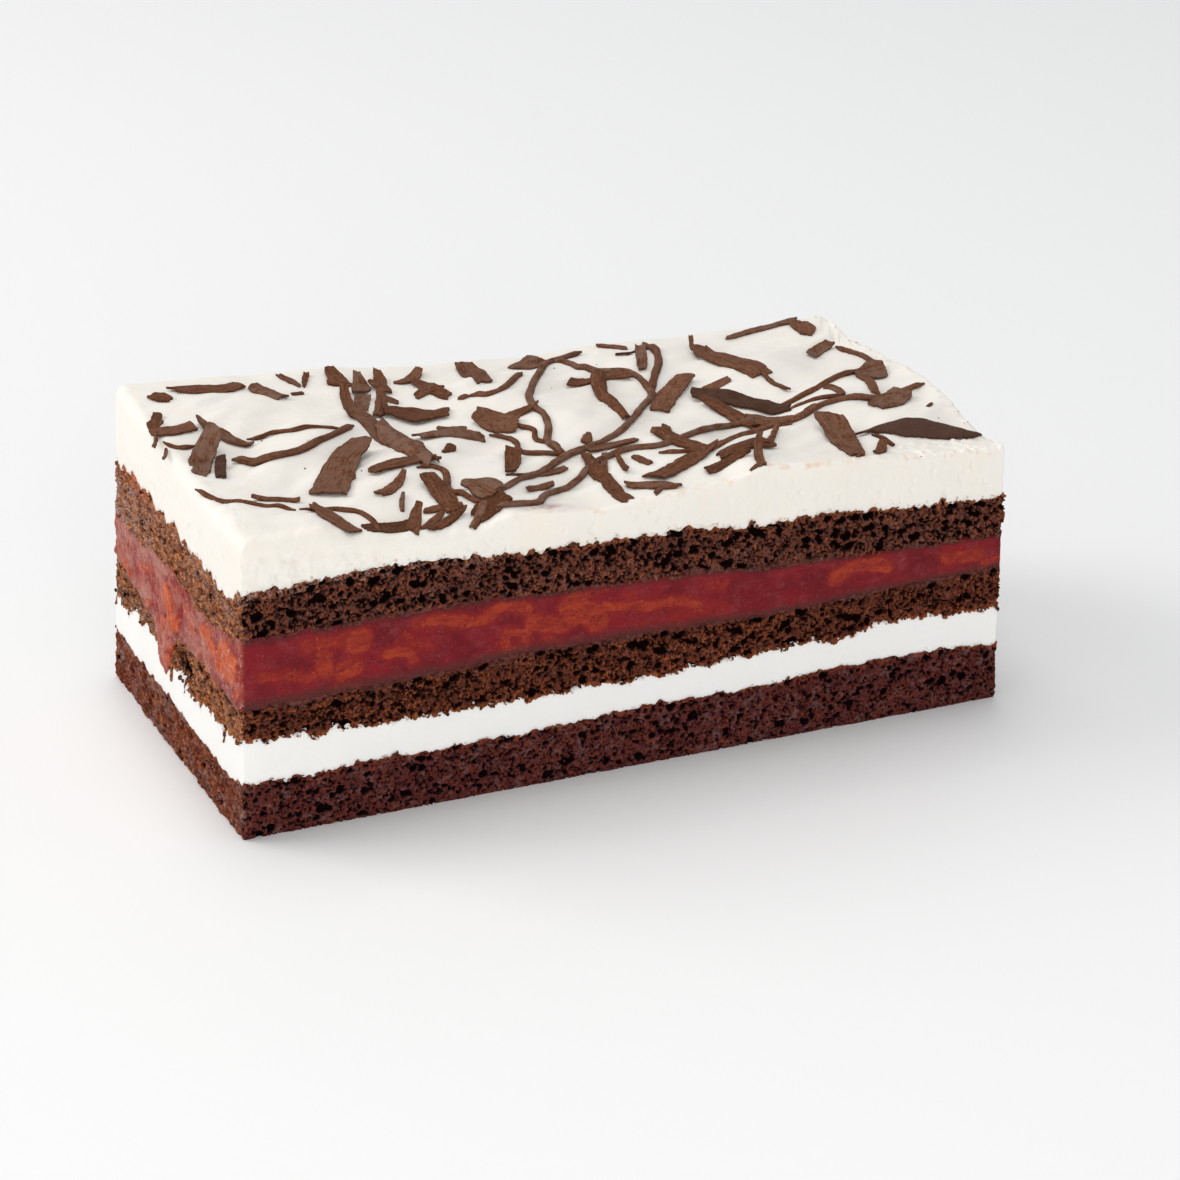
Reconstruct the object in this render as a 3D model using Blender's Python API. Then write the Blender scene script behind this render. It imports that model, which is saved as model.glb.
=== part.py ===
# Slice of layered black forest cake: three chocolate sponges, two cream layers, a cherry filling,
# and chocolate shavings and threads on top.
# The origin is at the middle of the base, +X along the slice, +Y to its back and +Z up.
# Every size below is in millimetres, and the meshes are made in metres.

import math
import random

import bmesh
import bpy
import numpy as np
from mathutils import Vector

MM = 0.001
LENGTH = 174.0
DEPTH = 85.4
STEPS_X = 35
STEPS_Y = 17
LAYER_GAP = 0.3
INSET = 6.0
SHAVING_THICKNESS = 1.0
SHAVING_SUNK = 0.45
THREAD_SIDES = 5
THREAD_STEP = 8.0

# Heights of the layer edges around the slice, as (distance, height) pairs. The front and the back
# are measured from the left end, and the two ends from the front.
LOWER_SPONGE_TOP = {
    "front": ((0, 12.0), (60, 12.2), (85, 13.2), (120, 13.3), (134, 14.4), (158, 14.2), (174, 12.5)),
    "right": ((0, 12.5), (25, 13.0), (50, 12.2), (85, 12.0)),
    "back": ((0, 11.7), (40, 12.4), (90, 12.9), (130, 12.2), (174, 12.0)),
    "left": ((0, 12.0), (8, 10.6), (30, 10.8), (50, 11.1), (68, 10.9), (85, 11.7)),
}
MIDDLE_SPONGE_BASE = {
    "front": ((0, 21.0), (30, 20.1), (65, 19.9), (110, 20.0), (135, 20.9), (148, 22.4), (174, 21.0)),
    "right": ((0, 21.0), (30, 21.8), (60, 20.6), (85, 20.2)),
    "back": ((0, 19.9), (50, 20.6), (100, 21.0), (140, 20.0), (174, 20.2)),
    "left": ((0, 21.0), (12, 19.0), (20, 20.2), (30, 17.8), (44, 18.8), (60, 20.8), (85, 19.9)),
}
CHERRY_BASE = {
    "front": ((0, 28.3), (44, 29.2), (62, 30.4), (82, 30.0), (120, 29.2), (145, 30.6), (174, 31.2)),
    "right": ((0, 31.2), (30, 30.4), (55, 31.0), (85, 30.0)),
    "back": ((0, 29.4), (45, 30.2), (95, 29.4), (140, 30.6), (174, 30.0)),
    "left": ((0, 28.3), (20, 28.0), (34, 28.0), (49, 24.4), (60, 25.0), (72, 26.9), (85, 29.4)),
}
CHERRY_TOP = {
    "front": ((0, 42.4), (45, 42.8), (76, 41.6), (100, 41.0), (120, 39.4), (150, 38.7), (174, 38.2)),
    "right": ((0, 38.2), (30, 38.9), (60, 38.2), (85, 38.4)),
    "back": ((0, 38.3), (50, 39.2), (100, 38.5), (140, 39.2), (174, 38.4)),
    "left": ((0, 42.4), (8, 40.2), (25, 38.6), (45, 39.7), (60, 39.3), (72, 37.6), (85, 38.3)),
}
UPPER_SPONGE_TOP = {
    "front": ((0, 52.0), (30, 53.6), (55, 52.6), (64, 51.3), (85, 51.5), (120, 49.8), (174, 47.6)),
    "right": ((0, 47.6), (30, 48.6), (60, 49.2), (85, 49.4)),
    "back": ((0, 50.0), (50, 50.8), (100, 50.0), (140, 49.2), (174, 49.4)),
    "left": ((0, 52.0), (10, 48.9), (30, 49.7), (46, 49.9), (62, 51.0), (74, 51.2), (85, 50.0)),
}
CREAM_CREST = {
    "front": (
        (0, 62.6), (8, 63.2), (15, 63.6), (27, 60.7), (42, 58.5), (50, 58.4), (59, 60.4), (66, 60.1),
        (78, 58.7), (95, 59.9), (106, 60.2), (115, 62.2), (128, 61.4), (140, 60.8), (152, 59.4), (174, 58.2),
    ),
    "right": ((0, 58.2), (9, 57.9), (17, 59.4), (26, 61.8), (36, 63.2), (54, 62.3), (68, 61.2), (85, 61.9)),
    "back": ((0, 66.9), (14, 66.5), (40, 65.6), (76, 62.5), (95, 61.6), (113, 62.3), (137, 61.3), (174, 61.9)),
    "left": ((0, 62.6), (12, 62.9), (30, 63.6), (50, 64.6), (70, 66.0), (85, 66.9)),
}

# Shavings lying flat or propped up: x, y, turn in degrees, length, width at the start, the middle
# and the end, lift of the whole piece, and further rise of its end.
SHAVINGS = (
    (-66, 36, 2, 15, 2.5, 5.2, 3.5, 0, 0),
    (-54, 30.5, 118, 9, 3.5, 4.3, 4.5, 0, 0.3),
    (-80, 15.5, 179, 9.5, 4.6, 5.2, 4.4, 0.2, 0),
    (-77.5, 0.5, 59, 16, 4, 5.6, 3.6, 0.3, 4),
    (-70.5, 10.5, 123, 13.5, 2.4, 3.1, 2.4, 0.1, 1),
    (-53, -13, 52, 22, 7.3, 7.8, 4.6, 0.1, 2.2),
    (-63.5, -34.5, 109, 14, 4.2, 5.7, 2.6, 0.2, 0.8),
    (-53.5, -38, 9, 11.5, 3.2, 5, 4.3, 0, 0.3),
    (-39, -29, 90, 13, 3, 5, 4.6, 0.4, 1.4),
    (-31, -30.5, 121, 8.5, 6.2, 6.3, 2.5, 0.5, 0.5),
    (-31.5, -37.5, 18, 8.5, 4, 6.2, 5, 0, 0.2),
    (-13.5, 1.5, 146, 9.5, 5, 7.3, 6.5, 0.4, 1),
    (-19, -19, 62, 10.5, 1.6, 3.4, 4, 0.2, 1),
    (-27.5, 12, 156, 14, 5, 9, 4, 0.2, 0.8),
    (-39.5, 4.5, 96, 20, 2.6, 4.6, 4, 0.2, 1),
    (-36.5, -5, 94, 24, 4, 6.2, 3.6, 0.3, 1),
    (-41.5, -16.5, 9, 15.5, 2.4, 3.3, 1.5, 0.6, 0.5),
    (-26, -3, 176, 14.5, 3, 4, 2.5, 0.2, 0.3),
    (-39, 21.5, 77, 17, 2.8, 2.3, 2, 0.2, 0.8),
    (-19, 25, 110, 12, 2.8, 4.3, 2.9, 0.2, 0.9),
    (-6.5, 31, 87, 14, 3.7, 4.7, 4, 0, 0.8),
    (8.5, 35.5, 36, 9, 5.3, 6.5, 5.3, 0, 0.4),
    (32.5, 27, 67, 17, 2.4, 2.3, 2.2, 0, 0.8),
    (18.5, 19, 162, 13, 3.3, 3.5, 3.5, 0.1, 0),
    (16, 7, 81, 24, 2.6, 3.2, 3.6, 0.1, 1.4),
    (30.5, 7, 45, 18, 4, 5.6, 4, 0.3, 0.8),
    (50.5, 18, 106, 22, 6.2, 9, 7.2, 0.1, 1.2),
    (78, 35.5, 74, 7, 3.2, 5.3, 5.3, 0, 0.3),
    (69.5, 39, 9, 20, 1.3, 2.2, 2.6, 0.1, 0),
    (77, 1, 51, 13, 5.2, 6.8, 3.5, 0.4, 0.8),
    (42.5, -2, 137, 22, 3.4, 5.6, 3.9, 0.8, 0.5),
    (37.5, -6.5, 111, 16, 3.2, 5.2, 2.6, 0.2, 0.8),
    (43.5, -14, 148, 10, 4.6, 7.6, 7.6, 0, 0.5),
    (29, -30, 18, 15.5, 3.4, 4.5, 3.3, 0.2, 0.2),
    (15, -30.5, 27, 22, 4.4, 3.6, 2.6, 0, 0.3),
    (19, -20, 115, 15, 5, 5.3, 4.3, 0.1, 0.5),
    (-3, -30.5, 89, 22, 3, 3.5, 2.4, 0.2, 0.9),
    (51.5, -31, 79, 20, 3.3, 5.3, 6.3, 0.1, 2.4),
    (70.5, -31.5, 167, 26, 5.5, 7.8, 4.2, 0.5, 0.2),
    (72, -15, 29, 11.5, 4.3, 6.2, 4.4, 0.1, 0.5),
    (5, -16.5, 3, 11.5, 2.6, 3.4, 2, 0.1, 0.1),
    (-76.5, -4.5, 71, 9, 2.2, 2.6, 2.3, 0.2, 1.2),
    (-71, -22, 177, 9.5, 1.4, 2.4, 1.6, 0, 0.2),
    (-47.5, -37.5, 59, 8, 3.3, 2.8, 1.5, 0.3, 3),
    (-8, 3.5, 12, 11, 1.4, 2.7, 2, 0, 0.3),
    (-36.5, 19.5, 67, 7, 2.8, 3.5, 3.5, 0.3, 0.6),
    (-33.5, 18.5, 64, 11, 2.1, 2.7, 2, 0.5, 0.6),
    (-36.5, 36, 100, 6.5, 3, 3.5, 2.6, 0.4, 1.4),
    (-28, 32.5, 72, 9, 2.5, 2.9, 2.1, 0.4, 1.2),
    (-20.5, 33.5, 41, 10, 2.4, 3.1, 2.6, 0.2, 0.5),
    (76, 23, 35, 9.5, 3.4, 3.1, 2.7, 0, 0.3),
    (4, -37.5, 149, 11, 2.2, 3.1, 1.7, 0, 0.3),
    (30, -35.5, 66, 13, 1.8, 1.7, 1.5, 0.3, 2.8),
)

# Chocolate threads: radius, then the x, y points that each one runs through.
THREADS = (
    (0.61, (-66.5, 8.5), (-54.5, 6), (-46.5, 5.5)),
    (1.02, (-72.5, 0), (-69.5, -4), (-67, -5), (-59.5, -4), (-51, 1.5), (-43.5, 7.5)),
    (0.7, (-85, -14), (-80.5, -21.5), (-74, -25.5), (-69.5, -29)),
    (0.74, (-68.5, -28.5), (-62, -29.5), (-57.5, -31.5), (-56, -36), (-56.5, -40.5)),
    (0.86, (-39.5, -18), (-36, -17.5), (-34, -20), (-36, -26.5), (-35, -31.5), (-32, -35.5)),
    (
        0.94, (-32, -34.5), (-25, -31.5), (-16.5, -25), (-6.5, -18), (2, -14.5), (10.5, -9.5),
        (20.5, 1.5), (26, 8), (27, 14), (25.5, 18.5), (21, 24), (18, 29), (16, 34), (13, 36.5),
    ),
    (
        0.94, (23, 38), (18, 36), (13, 34), (6, 24.5), (-1.5, 12), (-3.5, 5), (-3.5, 0), (-5, -6),
        (-7.5, -11), (-7.5, -15), (-5.5, -18),
    ),
    (0.74, (-17, -2.5), (-13.5, -4.5), (-13.5, -9), (-14.5, -13), (-11.5, -16.5), (-2.5, -17)),
    (0.9, (-13, 17), (-10, 14.5), (-4.5, 18), (4.5, 29.5)),
    (1.15, (39, 39), (37, 29.5), (34.5, 22), (30.5, 16), (26.5, 10)),
    (0.94, (48, -7), (59, -4.5), (72, 1.5), (81, 5.5)),
    (
        0.94, (83.5, -10.5), (78, -11.5), (71, -13), (64.5, -12.5), (58, -13), (48, -16.5), (42, -16.5),
        (33, -20.5), (22.5, -27.5),
    ),
    (
        0.9, (-31, -38.5), (-27, -39), (-21.5, -38), (-17.5, -34), (-4, -24), (1.5, -21.5),
        (7.5, -19.5), (13.5, -21), (22, -17.5), (33, -12), (43.5, -9),
    ),
    (0.74, (-10.5, 0), (-8, -5), (-9, -9), (-7, -13), (-6.5, -16.5)),
    (0.9, (81, 24.5), (82, 15.5), (81, 7.5)),
)

draw = random.Random(41)


def clear_scene():
    for obj in list(bpy.data.objects):
        bpy.data.objects.remove(obj, do_unlink=True)


def material(name, colour, roughness, subsurface=0.0):
    mat = bpy.data.materials.new(name)
    mat.use_nodes = True
    shader = mat.node_tree.nodes["Principled BSDF"]
    shader.inputs["Base Color"].default_value = (*colour, 1.0)
    shader.inputs["Roughness"].default_value = roughness
    shader.inputs["Subsurface Weight"].default_value = subsurface
    return mat


def along(pairs, distance):
    # Smooth value between the (distance, value) pairs.
    places = [pair[0] for pair in pairs]
    values = [pair[1] for pair in pairs]
    spot = min(max(distance, places[0]), places[-1])
    for i in range(len(places) - 1):
        if spot <= places[i + 1]:
            share = (spot - places[i]) / (places[i + 1] - places[i])
            share = share * share * (3.0 - 2.0 * share)
            return values[i] * (1.0 - share) + values[i + 1] * share
    return values[-1]


def rim_places():
    # Points around the base outline, anticlockwise from the front left corner: x, y and the side.
    places = []
    for i in range(STEPS_X):
        places.append((-LENGTH / 2 + LENGTH * i / STEPS_X, -DEPTH / 2, "front"))
    for i in range(STEPS_Y):
        places.append((LENGTH / 2, -DEPTH / 2 + DEPTH * i / STEPS_Y, "right"))
    for i in range(STEPS_X):
        places.append((LENGTH / 2 - LENGTH * i / STEPS_X, DEPTH / 2, "back"))
    for i in range(STEPS_Y):
        places.append((-LENGTH / 2, DEPTH / 2 - DEPTH * i / STEPS_Y, "left"))
    return places


RIM = rim_places()
CORNERS = (0, STEPS_X, STEPS_X + STEPS_Y, 2 * STEPS_X + STEPS_Y)


def edge_height(table, index):
    x, y, side = RIM[index]
    distance = x + LENGTH / 2 if side in ("front", "back") else y + DEPTH / 2
    return along(table[side], distance)


def lean(x, y, z):
    # The cut ends lean in a little towards the top.
    u = x / LENGTH + 0.5
    v = y / DEPTH + 0.5
    return z / 62.0 * ((1.0 - u) * (1.2 + 1.4 * v) - u * 2.0 * (1.0 - v))


def inward(index):
    if index == 0:
        return (0.7, 0.7)
    if index == STEPS_X:
        return (-0.7, 0.7)
    if index == STEPS_X + STEPS_Y:
        return (-0.7, -0.7)
    if index == 2 * STEPS_X + STEPS_Y:
        return (0.7, -0.7)
    return {"front": (0, 1), "right": (-1, 0), "back": (0, -1), "left": (1, 0)}[RIM[index][2]]


def side_point(index, z, depth, slip):
    # Point on a cut side, sunk by depth and slipped along the side.
    x, y, side = RIM[index]
    ix, iy = inward(index)
    if index in CORNERS:
        slip = 0.0
    sx, sy = (slip, 0.0) if side in ("front", "back") else (0.0, slip)
    return (x + lean(x, y, z) + ix * depth + sx, y + iy * depth + sy, z)


class Level:
    # A surface between two layers: its rim, a ring inside the rim and a flat middle.
    def __init__(self, table, depth_range):
        count = len(RIM)
        if table is None:
            self.heights = [0.0] * count
        else:
            self.heights = [edge_height(table, i) + draw.uniform(-0.25, 0.25) for i in range(count)]
        self.depths = [draw.uniform(*depth_range) for i in range(count)]
        self.slips = [draw.uniform(-0.8, 0.8) for i in range(count)]
        rows = [[1.0, RIM[i][0], RIM[i][1]] for i in range(count)]
        self.plane = np.linalg.lstsq(np.array(rows), np.array(self.heights), rcond=None)[0]

    def rim(self, lift):
        return [
            side_point(i, self.heights[i] + lift, self.depths[i], self.slips[i]) for i in range(len(RIM))
        ]

    def ring(self, lift):
        points = []
        for x, y, side in RIM:
            px = x * (1.0 - 2.0 * INSET / LENGTH)
            py = y * (1.0 - 2.0 * INSET / DEPTH)
            points.append((px, py, self.plane[0] + self.plane[1] * px + self.plane[2] * py + lift))
        return points


def add_ring(bm, points):
    return [bm.verts.new(Vector(p) * MM) for p in points]


def bridge(bm, below, above):
    # Outward band between two rings that run anticlockwise, cut along alternate diagonals.
    count = len(below)
    for i in range(count):
        j = (i + 1) % count
        if i % 2:
            bm.faces.new((below[i], below[j], above[i]))
            bm.faces.new((below[j], above[j], above[i]))
        else:
            bm.faces.new((below[i], below[j], above[j]))
            bm.faces.new((below[i], above[j], above[i]))


def cap(bm, rim, ring, upward):
    # Sloping band between the rim and the inner ring, then the flat middle. Both layers at a level
    # are cut along the same diagonals, so that the gap between them stays even.
    count = len(rim)
    for i in range(count):
        j = (i + 1) % count
        faces = ((rim[i], rim[j], ring[j]), (rim[i], ring[j], ring[i]))
        for face in faces:
            bm.faces.new(face if upward else tuple(reversed(face)))
    bm.faces.new(ring if upward else list(reversed(ring)))


def side_rows(bm, first, below, above, lift, rows, relief, slip):
    rings = [first]
    for row in range(1, rows):
        share = row / rows
        points = []
        for i in range(len(RIM)):
            low = below.heights[i] + lift
            z = low + (above.heights[i] - low) * (share + draw.uniform(-0.1, 0.1))
            points.append(side_point(i, z, relief(i, share), draw.uniform(-slip, slip)))
        rings.append(add_ring(bm, points))
    return rings


def finish_mesh(bm, name, mat):
    bmesh.ops.recalc_face_normals(bm, faces=bm.faces)
    mesh = bpy.data.meshes.new(name)
    bm.to_mesh(mesh)
    bm.free()
    mesh.materials.append(mat)
    obj = bpy.data.objects.new(name, mesh)
    bpy.context.scene.collection.objects.link(obj)
    return obj


def layer(name, below, above, rows, relief, slip, mat):
    # One layer of the slice, resting on the level below it with a small gap.
    bm = bmesh.new()
    lift = 0.0 if below.heights[0] == 0.0 else LAYER_GAP
    base = add_ring(bm, below.rim(lift))
    cap(bm, base, add_ring(bm, below.ring(lift)), False)
    rings = side_rows(bm, base, below, above, lift, rows, relief, slip)
    rings.append(add_ring(bm, above.rim(0.0)))
    for low, high in zip(rings, rings[1:]):
        bridge(bm, low, high)
    cap(bm, rings[-1], add_ring(bm, above.ring(0.0)), True)
    return finish_mesh(bm, name, mat)


def crumb_relief(index, share):
    # Open crumb: mostly shallow, with a deeper hole here and there.
    if draw.random() < 0.15:
        return draw.uniform(1.0, 1.5)
    return draw.uniform(0.0, 0.8)


def cream_relief(index, share):
    return draw.uniform(0.0, 0.35)


def cherry_relief(index, share):
    # The filling swells between the sponges, with whole pieces showing as low bumps.
    swell = 0.5 * math.sin(math.pi * share)
    piece = 0.35 * math.sin(index * 1.7) * math.sin(index * 0.9 + 3.0 * share)
    return 0.8 - swell + piece + draw.uniform(-0.1, 0.1)


def residual(table, side, distance, length, start, end):
    straight = start + (end - start) * distance / length
    return along(table[side], distance) - straight


def cream_height(x, y):
    # Height of the cream's upper face.
    px = min(max(x + LENGTH / 2, 0.0), LENGTH)
    py = min(max(y + DEPTH / 2, 0.0), DEPTH)
    u = px / LENGTH
    v = py / DEPTH
    fl = CREAM_CREST["front"][0][1]
    fr = CREAM_CREST["front"][-1][1]
    bl = CREAM_CREST["back"][0][1]
    br = CREAM_CREST["back"][-1][1]
    z = (fl * (1 - u) + fr * u) * (1 - v) + (bl * (1 - u) + br * u) * v
    z += residual(CREAM_CREST, "front", px, LENGTH, fl, fr) * math.exp(-((py / 20.0) ** 2))
    z += residual(CREAM_CREST, "back", px, LENGTH, bl, br) * math.exp(-(((DEPTH - py) / 20.0) ** 2))
    z += residual(CREAM_CREST, "left", py, DEPTH, fl, bl) * math.exp(-((px / 20.0) ** 2))
    z += residual(CREAM_CREST, "right", py, DEPTH, fr, br) * math.exp(-(((LENGTH - px) / 24.0) ** 2))
    rim = min(px, LENGTH - px, py, DEPTH - py)
    inner = 1.0 - math.exp(-((rim / 10.0) ** 2))
    sweep = 0.9 * math.sin(0.11 * (x + 0.55 * y) + 1.3) + 0.45 * math.sin(0.19 * (x - 1.2 * y) + 0.4)
    hump = 1.2 * math.exp(-(((x + 26) / 9.0) ** 2) - ((y + 9) / 8.0) ** 2)
    hump += 1.3 * math.exp(-(((x - 24) / 12.0) ** 2) - ((y - 26) / 11.0) ** 2)
    return z + inner * (sweep + hump)


def top_cream(below, mat):
    # Upper cream with a swept top, its edge rounded over.
    bm = bmesh.new()
    base = add_ring(bm, below.rim(LAYER_GAP))
    cap(bm, base, add_ring(bm, below.ring(LAYER_GAP)), False)
    rings = [base]
    count = len(RIM)
    crest = [cream_height(RIM[i][0], RIM[i][1]) for i in range(count)]
    for share, sunk in ((0.33, 0.1), (0.66, 0.0), (0.9, 0.15)):
        points = []
        for i in range(count):
            low = below.heights[i] + LAYER_GAP
            z = low + (crest[i] - low) * share + draw.uniform(-0.2, 0.2)
            points.append(side_point(i, z, sunk + draw.uniform(0.0, 0.4), draw.uniform(-0.6, 0.6)))
        rings.append(add_ring(bm, points))
    rounded = [side_point(i, crest[i] - 0.1, 0.9 + draw.uniform(0.0, 0.3), 0.0) for i in range(count)]
    rings.append(add_ring(bm, rounded))
    for low, high in zip(rings, rings[1:]):
        bridge(bm, low, high)
    rim = rings[-1]
    grid = {}
    for i in range(STEPS_X + 1):
        for j in range(STEPS_Y + 1):
            x = -LENGTH / 2 + LENGTH * i / STEPS_X
            y = -DEPTH / 2 + DEPTH * j / STEPS_Y
            if j == 0:
                grid[i, j] = rim[i]
            elif i == STEPS_X:
                grid[i, j] = rim[STEPS_X + j]
            elif j == STEPS_Y:
                grid[i, j] = rim[STEPS_X + STEPS_Y + STEPS_X - i]
            elif i == 0:
                grid[i, j] = rim[2 * STEPS_X + 2 * STEPS_Y - j]
            else:
                z = cream_height(x, y)
                grid[i, j] = bm.verts.new(Vector((x + lean(x, y, z), y, z)) * MM)
    for i in range(STEPS_X):
        for j in range(STEPS_Y):
            a, b = grid[i, j], grid[i + 1, j]
            c, d = grid[i + 1, j + 1], grid[i, j + 1]
            if (i + j) % 2:
                bm.faces.new((a, b, c))
                bm.faces.new((a, c, d))
            else:
                bm.faces.new((a, b, d))
                bm.faces.new((b, c, d))
    return finish_mesh(bm, "top_cream", mat)


def shaving(index, values, mat):
    # A chipped flake of chocolate: a thin plate whose ends and edges are uneven.
    x, y, turn, length, start, middle, end, lift, rise = values
    draw = random.Random(100 + index)
    angle = math.radians(turn)
    ax, ay = math.cos(angle), math.sin(angle)
    stations = 4 if length > 14 else 3
    bow = draw.uniform(-0.06, 0.06) * length
    tilt = draw.uniform(-0.12, 0.12)
    bm = bmesh.new()
    rings = []
    for k in range(stations):
        t = k / (stations - 1)
        if t < 0.5:
            width = start + (middle - start) * t * 2
        else:
            width = middle + (end - middle) * (t - 0.5) * 2
        half = 0.5 * width
        near = half * draw.uniform(0.82, 1.12)
        far = half * draw.uniform(0.82, 1.12)
        slide = (t - 0.5) * length
        side = bow * (1.0 - (2 * t - 1) ** 2)
        cx = x + ax * slide - ay * side
        cy = y + ay * slide + ax * side
        slant = draw.uniform(-0.06, 0.06) * length if k in (0, stations - 1) else 0.0
        corners = []
        for across, shift in ((-near, slant), (far, -slant)):
            px = cx - ay * across + ax * shift
            py = cy + ax * across + ay * shift
            z = cream_height(px, py) + lift + rise * t * t + tilt * across
            corners.append((px, py, z))
        (x0, y0, z0), (x1, y1, z1) = corners
        under = SHAVING_SUNK
        over = SHAVING_THICKNESS - SHAVING_SUNK
        rings.append([
            bm.verts.new(Vector((x0, y0, z0 - under)) * MM),
            bm.verts.new(Vector((x1, y1, z1 - under)) * MM),
            bm.verts.new(Vector((x1, y1, z1 + over)) * MM),
            bm.verts.new(Vector((x0, y0, z0 + over)) * MM),
        ])
    for low, high in zip(rings, rings[1:]):
        for k in range(4):
            n = (k + 1) % 4
            bm.faces.new((low[k], low[n], high[n]))
            bm.faces.new((low[k], high[n], high[k]))
    for ring in (rings[0], rings[-1]):
        bm.faces.new((ring[0], ring[1], ring[2]))
        bm.faces.new((ring[0], ring[2], ring[3]))
    return finish_mesh(bm, "shaving_%02d" % index, mat)


def thread_path(points):
    # Evenly spaced points on a smooth curve through the given ones.
    dense = []
    count = len(points)
    for i in range(count - 1):
        p0 = points[max(i - 1, 0)]
        p1 = points[i]
        p2 = points[i + 1]
        p3 = points[min(i + 2, count - 1)]
        for step in range(12):
            t = step / 12
            dense.append(tuple(
                0.5 * (2 * b + (c - a) * t + (2 * a - 5 * b + 4 * c - d) * t ** 2
                       + (3 * b - a - 3 * c + d) * t ** 3)
                for a, b, c, d in zip(p0, p1, p2, p3)
            ))
    dense.append(tuple(float(c) for c in points[-1]))
    walked = [0.0]
    for a, b in zip(dense, dense[1:]):
        walked.append(walked[-1] + math.dist(a, b))
    pieces = max(2, round(walked[-1] / THREAD_STEP))
    path = []
    for i in range(pieces + 1):
        goal = walked[-1] * i / pieces
        k = next(n for n in range(len(dense)) if walked[n] >= goal - 1e-6)
        path.append(dense[k])
    return path


def thread(index, values, mat):
    # A thin thread of chocolate lying on the cream.
    radius = values[0]
    draw = random.Random(300 + index)
    path = thread_path(values[1:])
    bm = bmesh.new()
    rings = []
    for i, (x, y) in enumerate(path):
        ahead = path[min(i + 1, len(path) - 1)]
        behind = path[max(i - 1, 0)]
        run = math.dist(ahead, behind)
        tx, ty = (ahead[0] - behind[0]) / run, (ahead[1] - behind[1]) / run
        thick = radius * draw.uniform(0.85, 1.15)
        if i in (0, len(path) - 1):
            thick *= 0.6
        z = cream_height(x, y) + 0.35 * radius + 0.017 * index
        ring = []
        for k in range(THREAD_SIDES):
            a = 2 * math.pi * (k + 0.25) / THREAD_SIDES
            across = thick * math.cos(a)
            ring.append(bm.verts.new(Vector((x - ty * across, y + tx * across, z + thick * math.sin(a))) * MM))
        rings.append(ring)
    for low, high in zip(rings, rings[1:]):
        for k in range(THREAD_SIDES):
            n = (k + 1) % THREAD_SIDES
            bm.faces.new((low[k], low[n], high[n]))
            bm.faces.new((low[k], high[n], high[k]))
    for ring in (rings[0], rings[-1]):
        bm.faces.new(ring)
    return finish_mesh(bm, "thread_%02d" % index, mat)


def keep_main_body(obj):
    # Drop sealed hollows and loose scraps, keeping the body with the most faces.
    bm = bmesh.new()
    bm.from_mesh(obj.data)
    bm.faces.ensure_lookup_table()
    seen = set()
    bodies = []
    for face in bm.faces:
        if face.index in seen:
            continue
        seen.add(face.index)
        stack = [face]
        body = []
        while stack:
            current = stack.pop()
            body.append(current)
            for edge in current.edges:
                for other in edge.link_faces:
                    if other.index not in seen:
                        seen.add(other.index)
                        stack.append(other)
        bodies.append(body)
    bodies.sort(key=len, reverse=True)
    extra = [face for body in bodies[1:] for face in body]
    bmesh.ops.delete(bm, geom=extra, context="FACES")
    bm.to_mesh(obj.data)
    bm.free()


def fuse(body, pieces):
    # Join the chocolate with the cream it lies on.
    group = bpy.data.collections.new("chocolate")
    bpy.context.scene.collection.children.link(group)
    for piece in pieces:
        bpy.context.scene.collection.objects.unlink(piece)
        group.objects.link(piece)
    mod = body.modifiers.new("fuse", "BOOLEAN")
    mod.operation = "UNION"
    mod.operand_type = "COLLECTION"
    mod.collection = group
    mod.solver = "EXACT"
    mod.use_self = False
    bpy.context.view_layer.update()
    fused = bpy.data.meshes.new_from_object(body.evaluated_get(bpy.context.evaluated_depsgraph_get()))
    body.modifiers.clear()
    body.data = fused
    fused.name = body.name
    for piece in pieces:
        bpy.data.objects.remove(piece, do_unlink=True)
    bpy.data.collections.remove(group)


def build():
    clear_scene()
    sponge = material("sponge", (0.045, 0.018, 0.010), 0.85)
    cream = material("cream", (0.86, 0.83, 0.78), 0.55, 0.2)
    cherry = material("cherry_filling", (0.22, 0.012, 0.022), 0.3, 0.2)
    chocolate = material("chocolate", (0.085, 0.038, 0.022), 0.6)
    ground = Level(None, (0.0, 0.0))
    ground.slips = [0.0] * len(RIM)
    levels = [
        ground,
        Level(LOWER_SPONGE_TOP, (0.0, 0.7)),
        Level(MIDDLE_SPONGE_BASE, (0.0, 0.7)),
        Level(CHERRY_BASE, (0.2, 0.9)),
        Level(CHERRY_TOP, (0.2, 0.9)),
        Level(UPPER_SPONGE_TOP, (0.0, 0.7)),
    ]
    layer("lower_sponge", levels[0], levels[1], 3, crumb_relief, 1.4, sponge)
    layer("lower_cream", levels[1], levels[2], 2, cream_relief, 0.8, cream)
    layer("middle_sponge", levels[2], levels[3], 2, crumb_relief, 1.4, sponge)
    layer("cherry_filling", levels[3], levels[4], 3, cherry_relief, 0.5, cherry)
    layer("upper_sponge", levels[4], levels[5], 3, crumb_relief, 1.4, sponge)
    top = top_cream(levels[5], cream)
    pieces = [shaving(i, values, chocolate) for i, values in enumerate(SHAVINGS)]
    pieces += [thread(i, values, chocolate) for i, values in enumerate(THREADS)]
    fuse(top, pieces)
    keep_main_body(top)


build()
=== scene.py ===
import math
import random

import bpy
import numpy as np
from mathutils import Matrix, Vector


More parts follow.
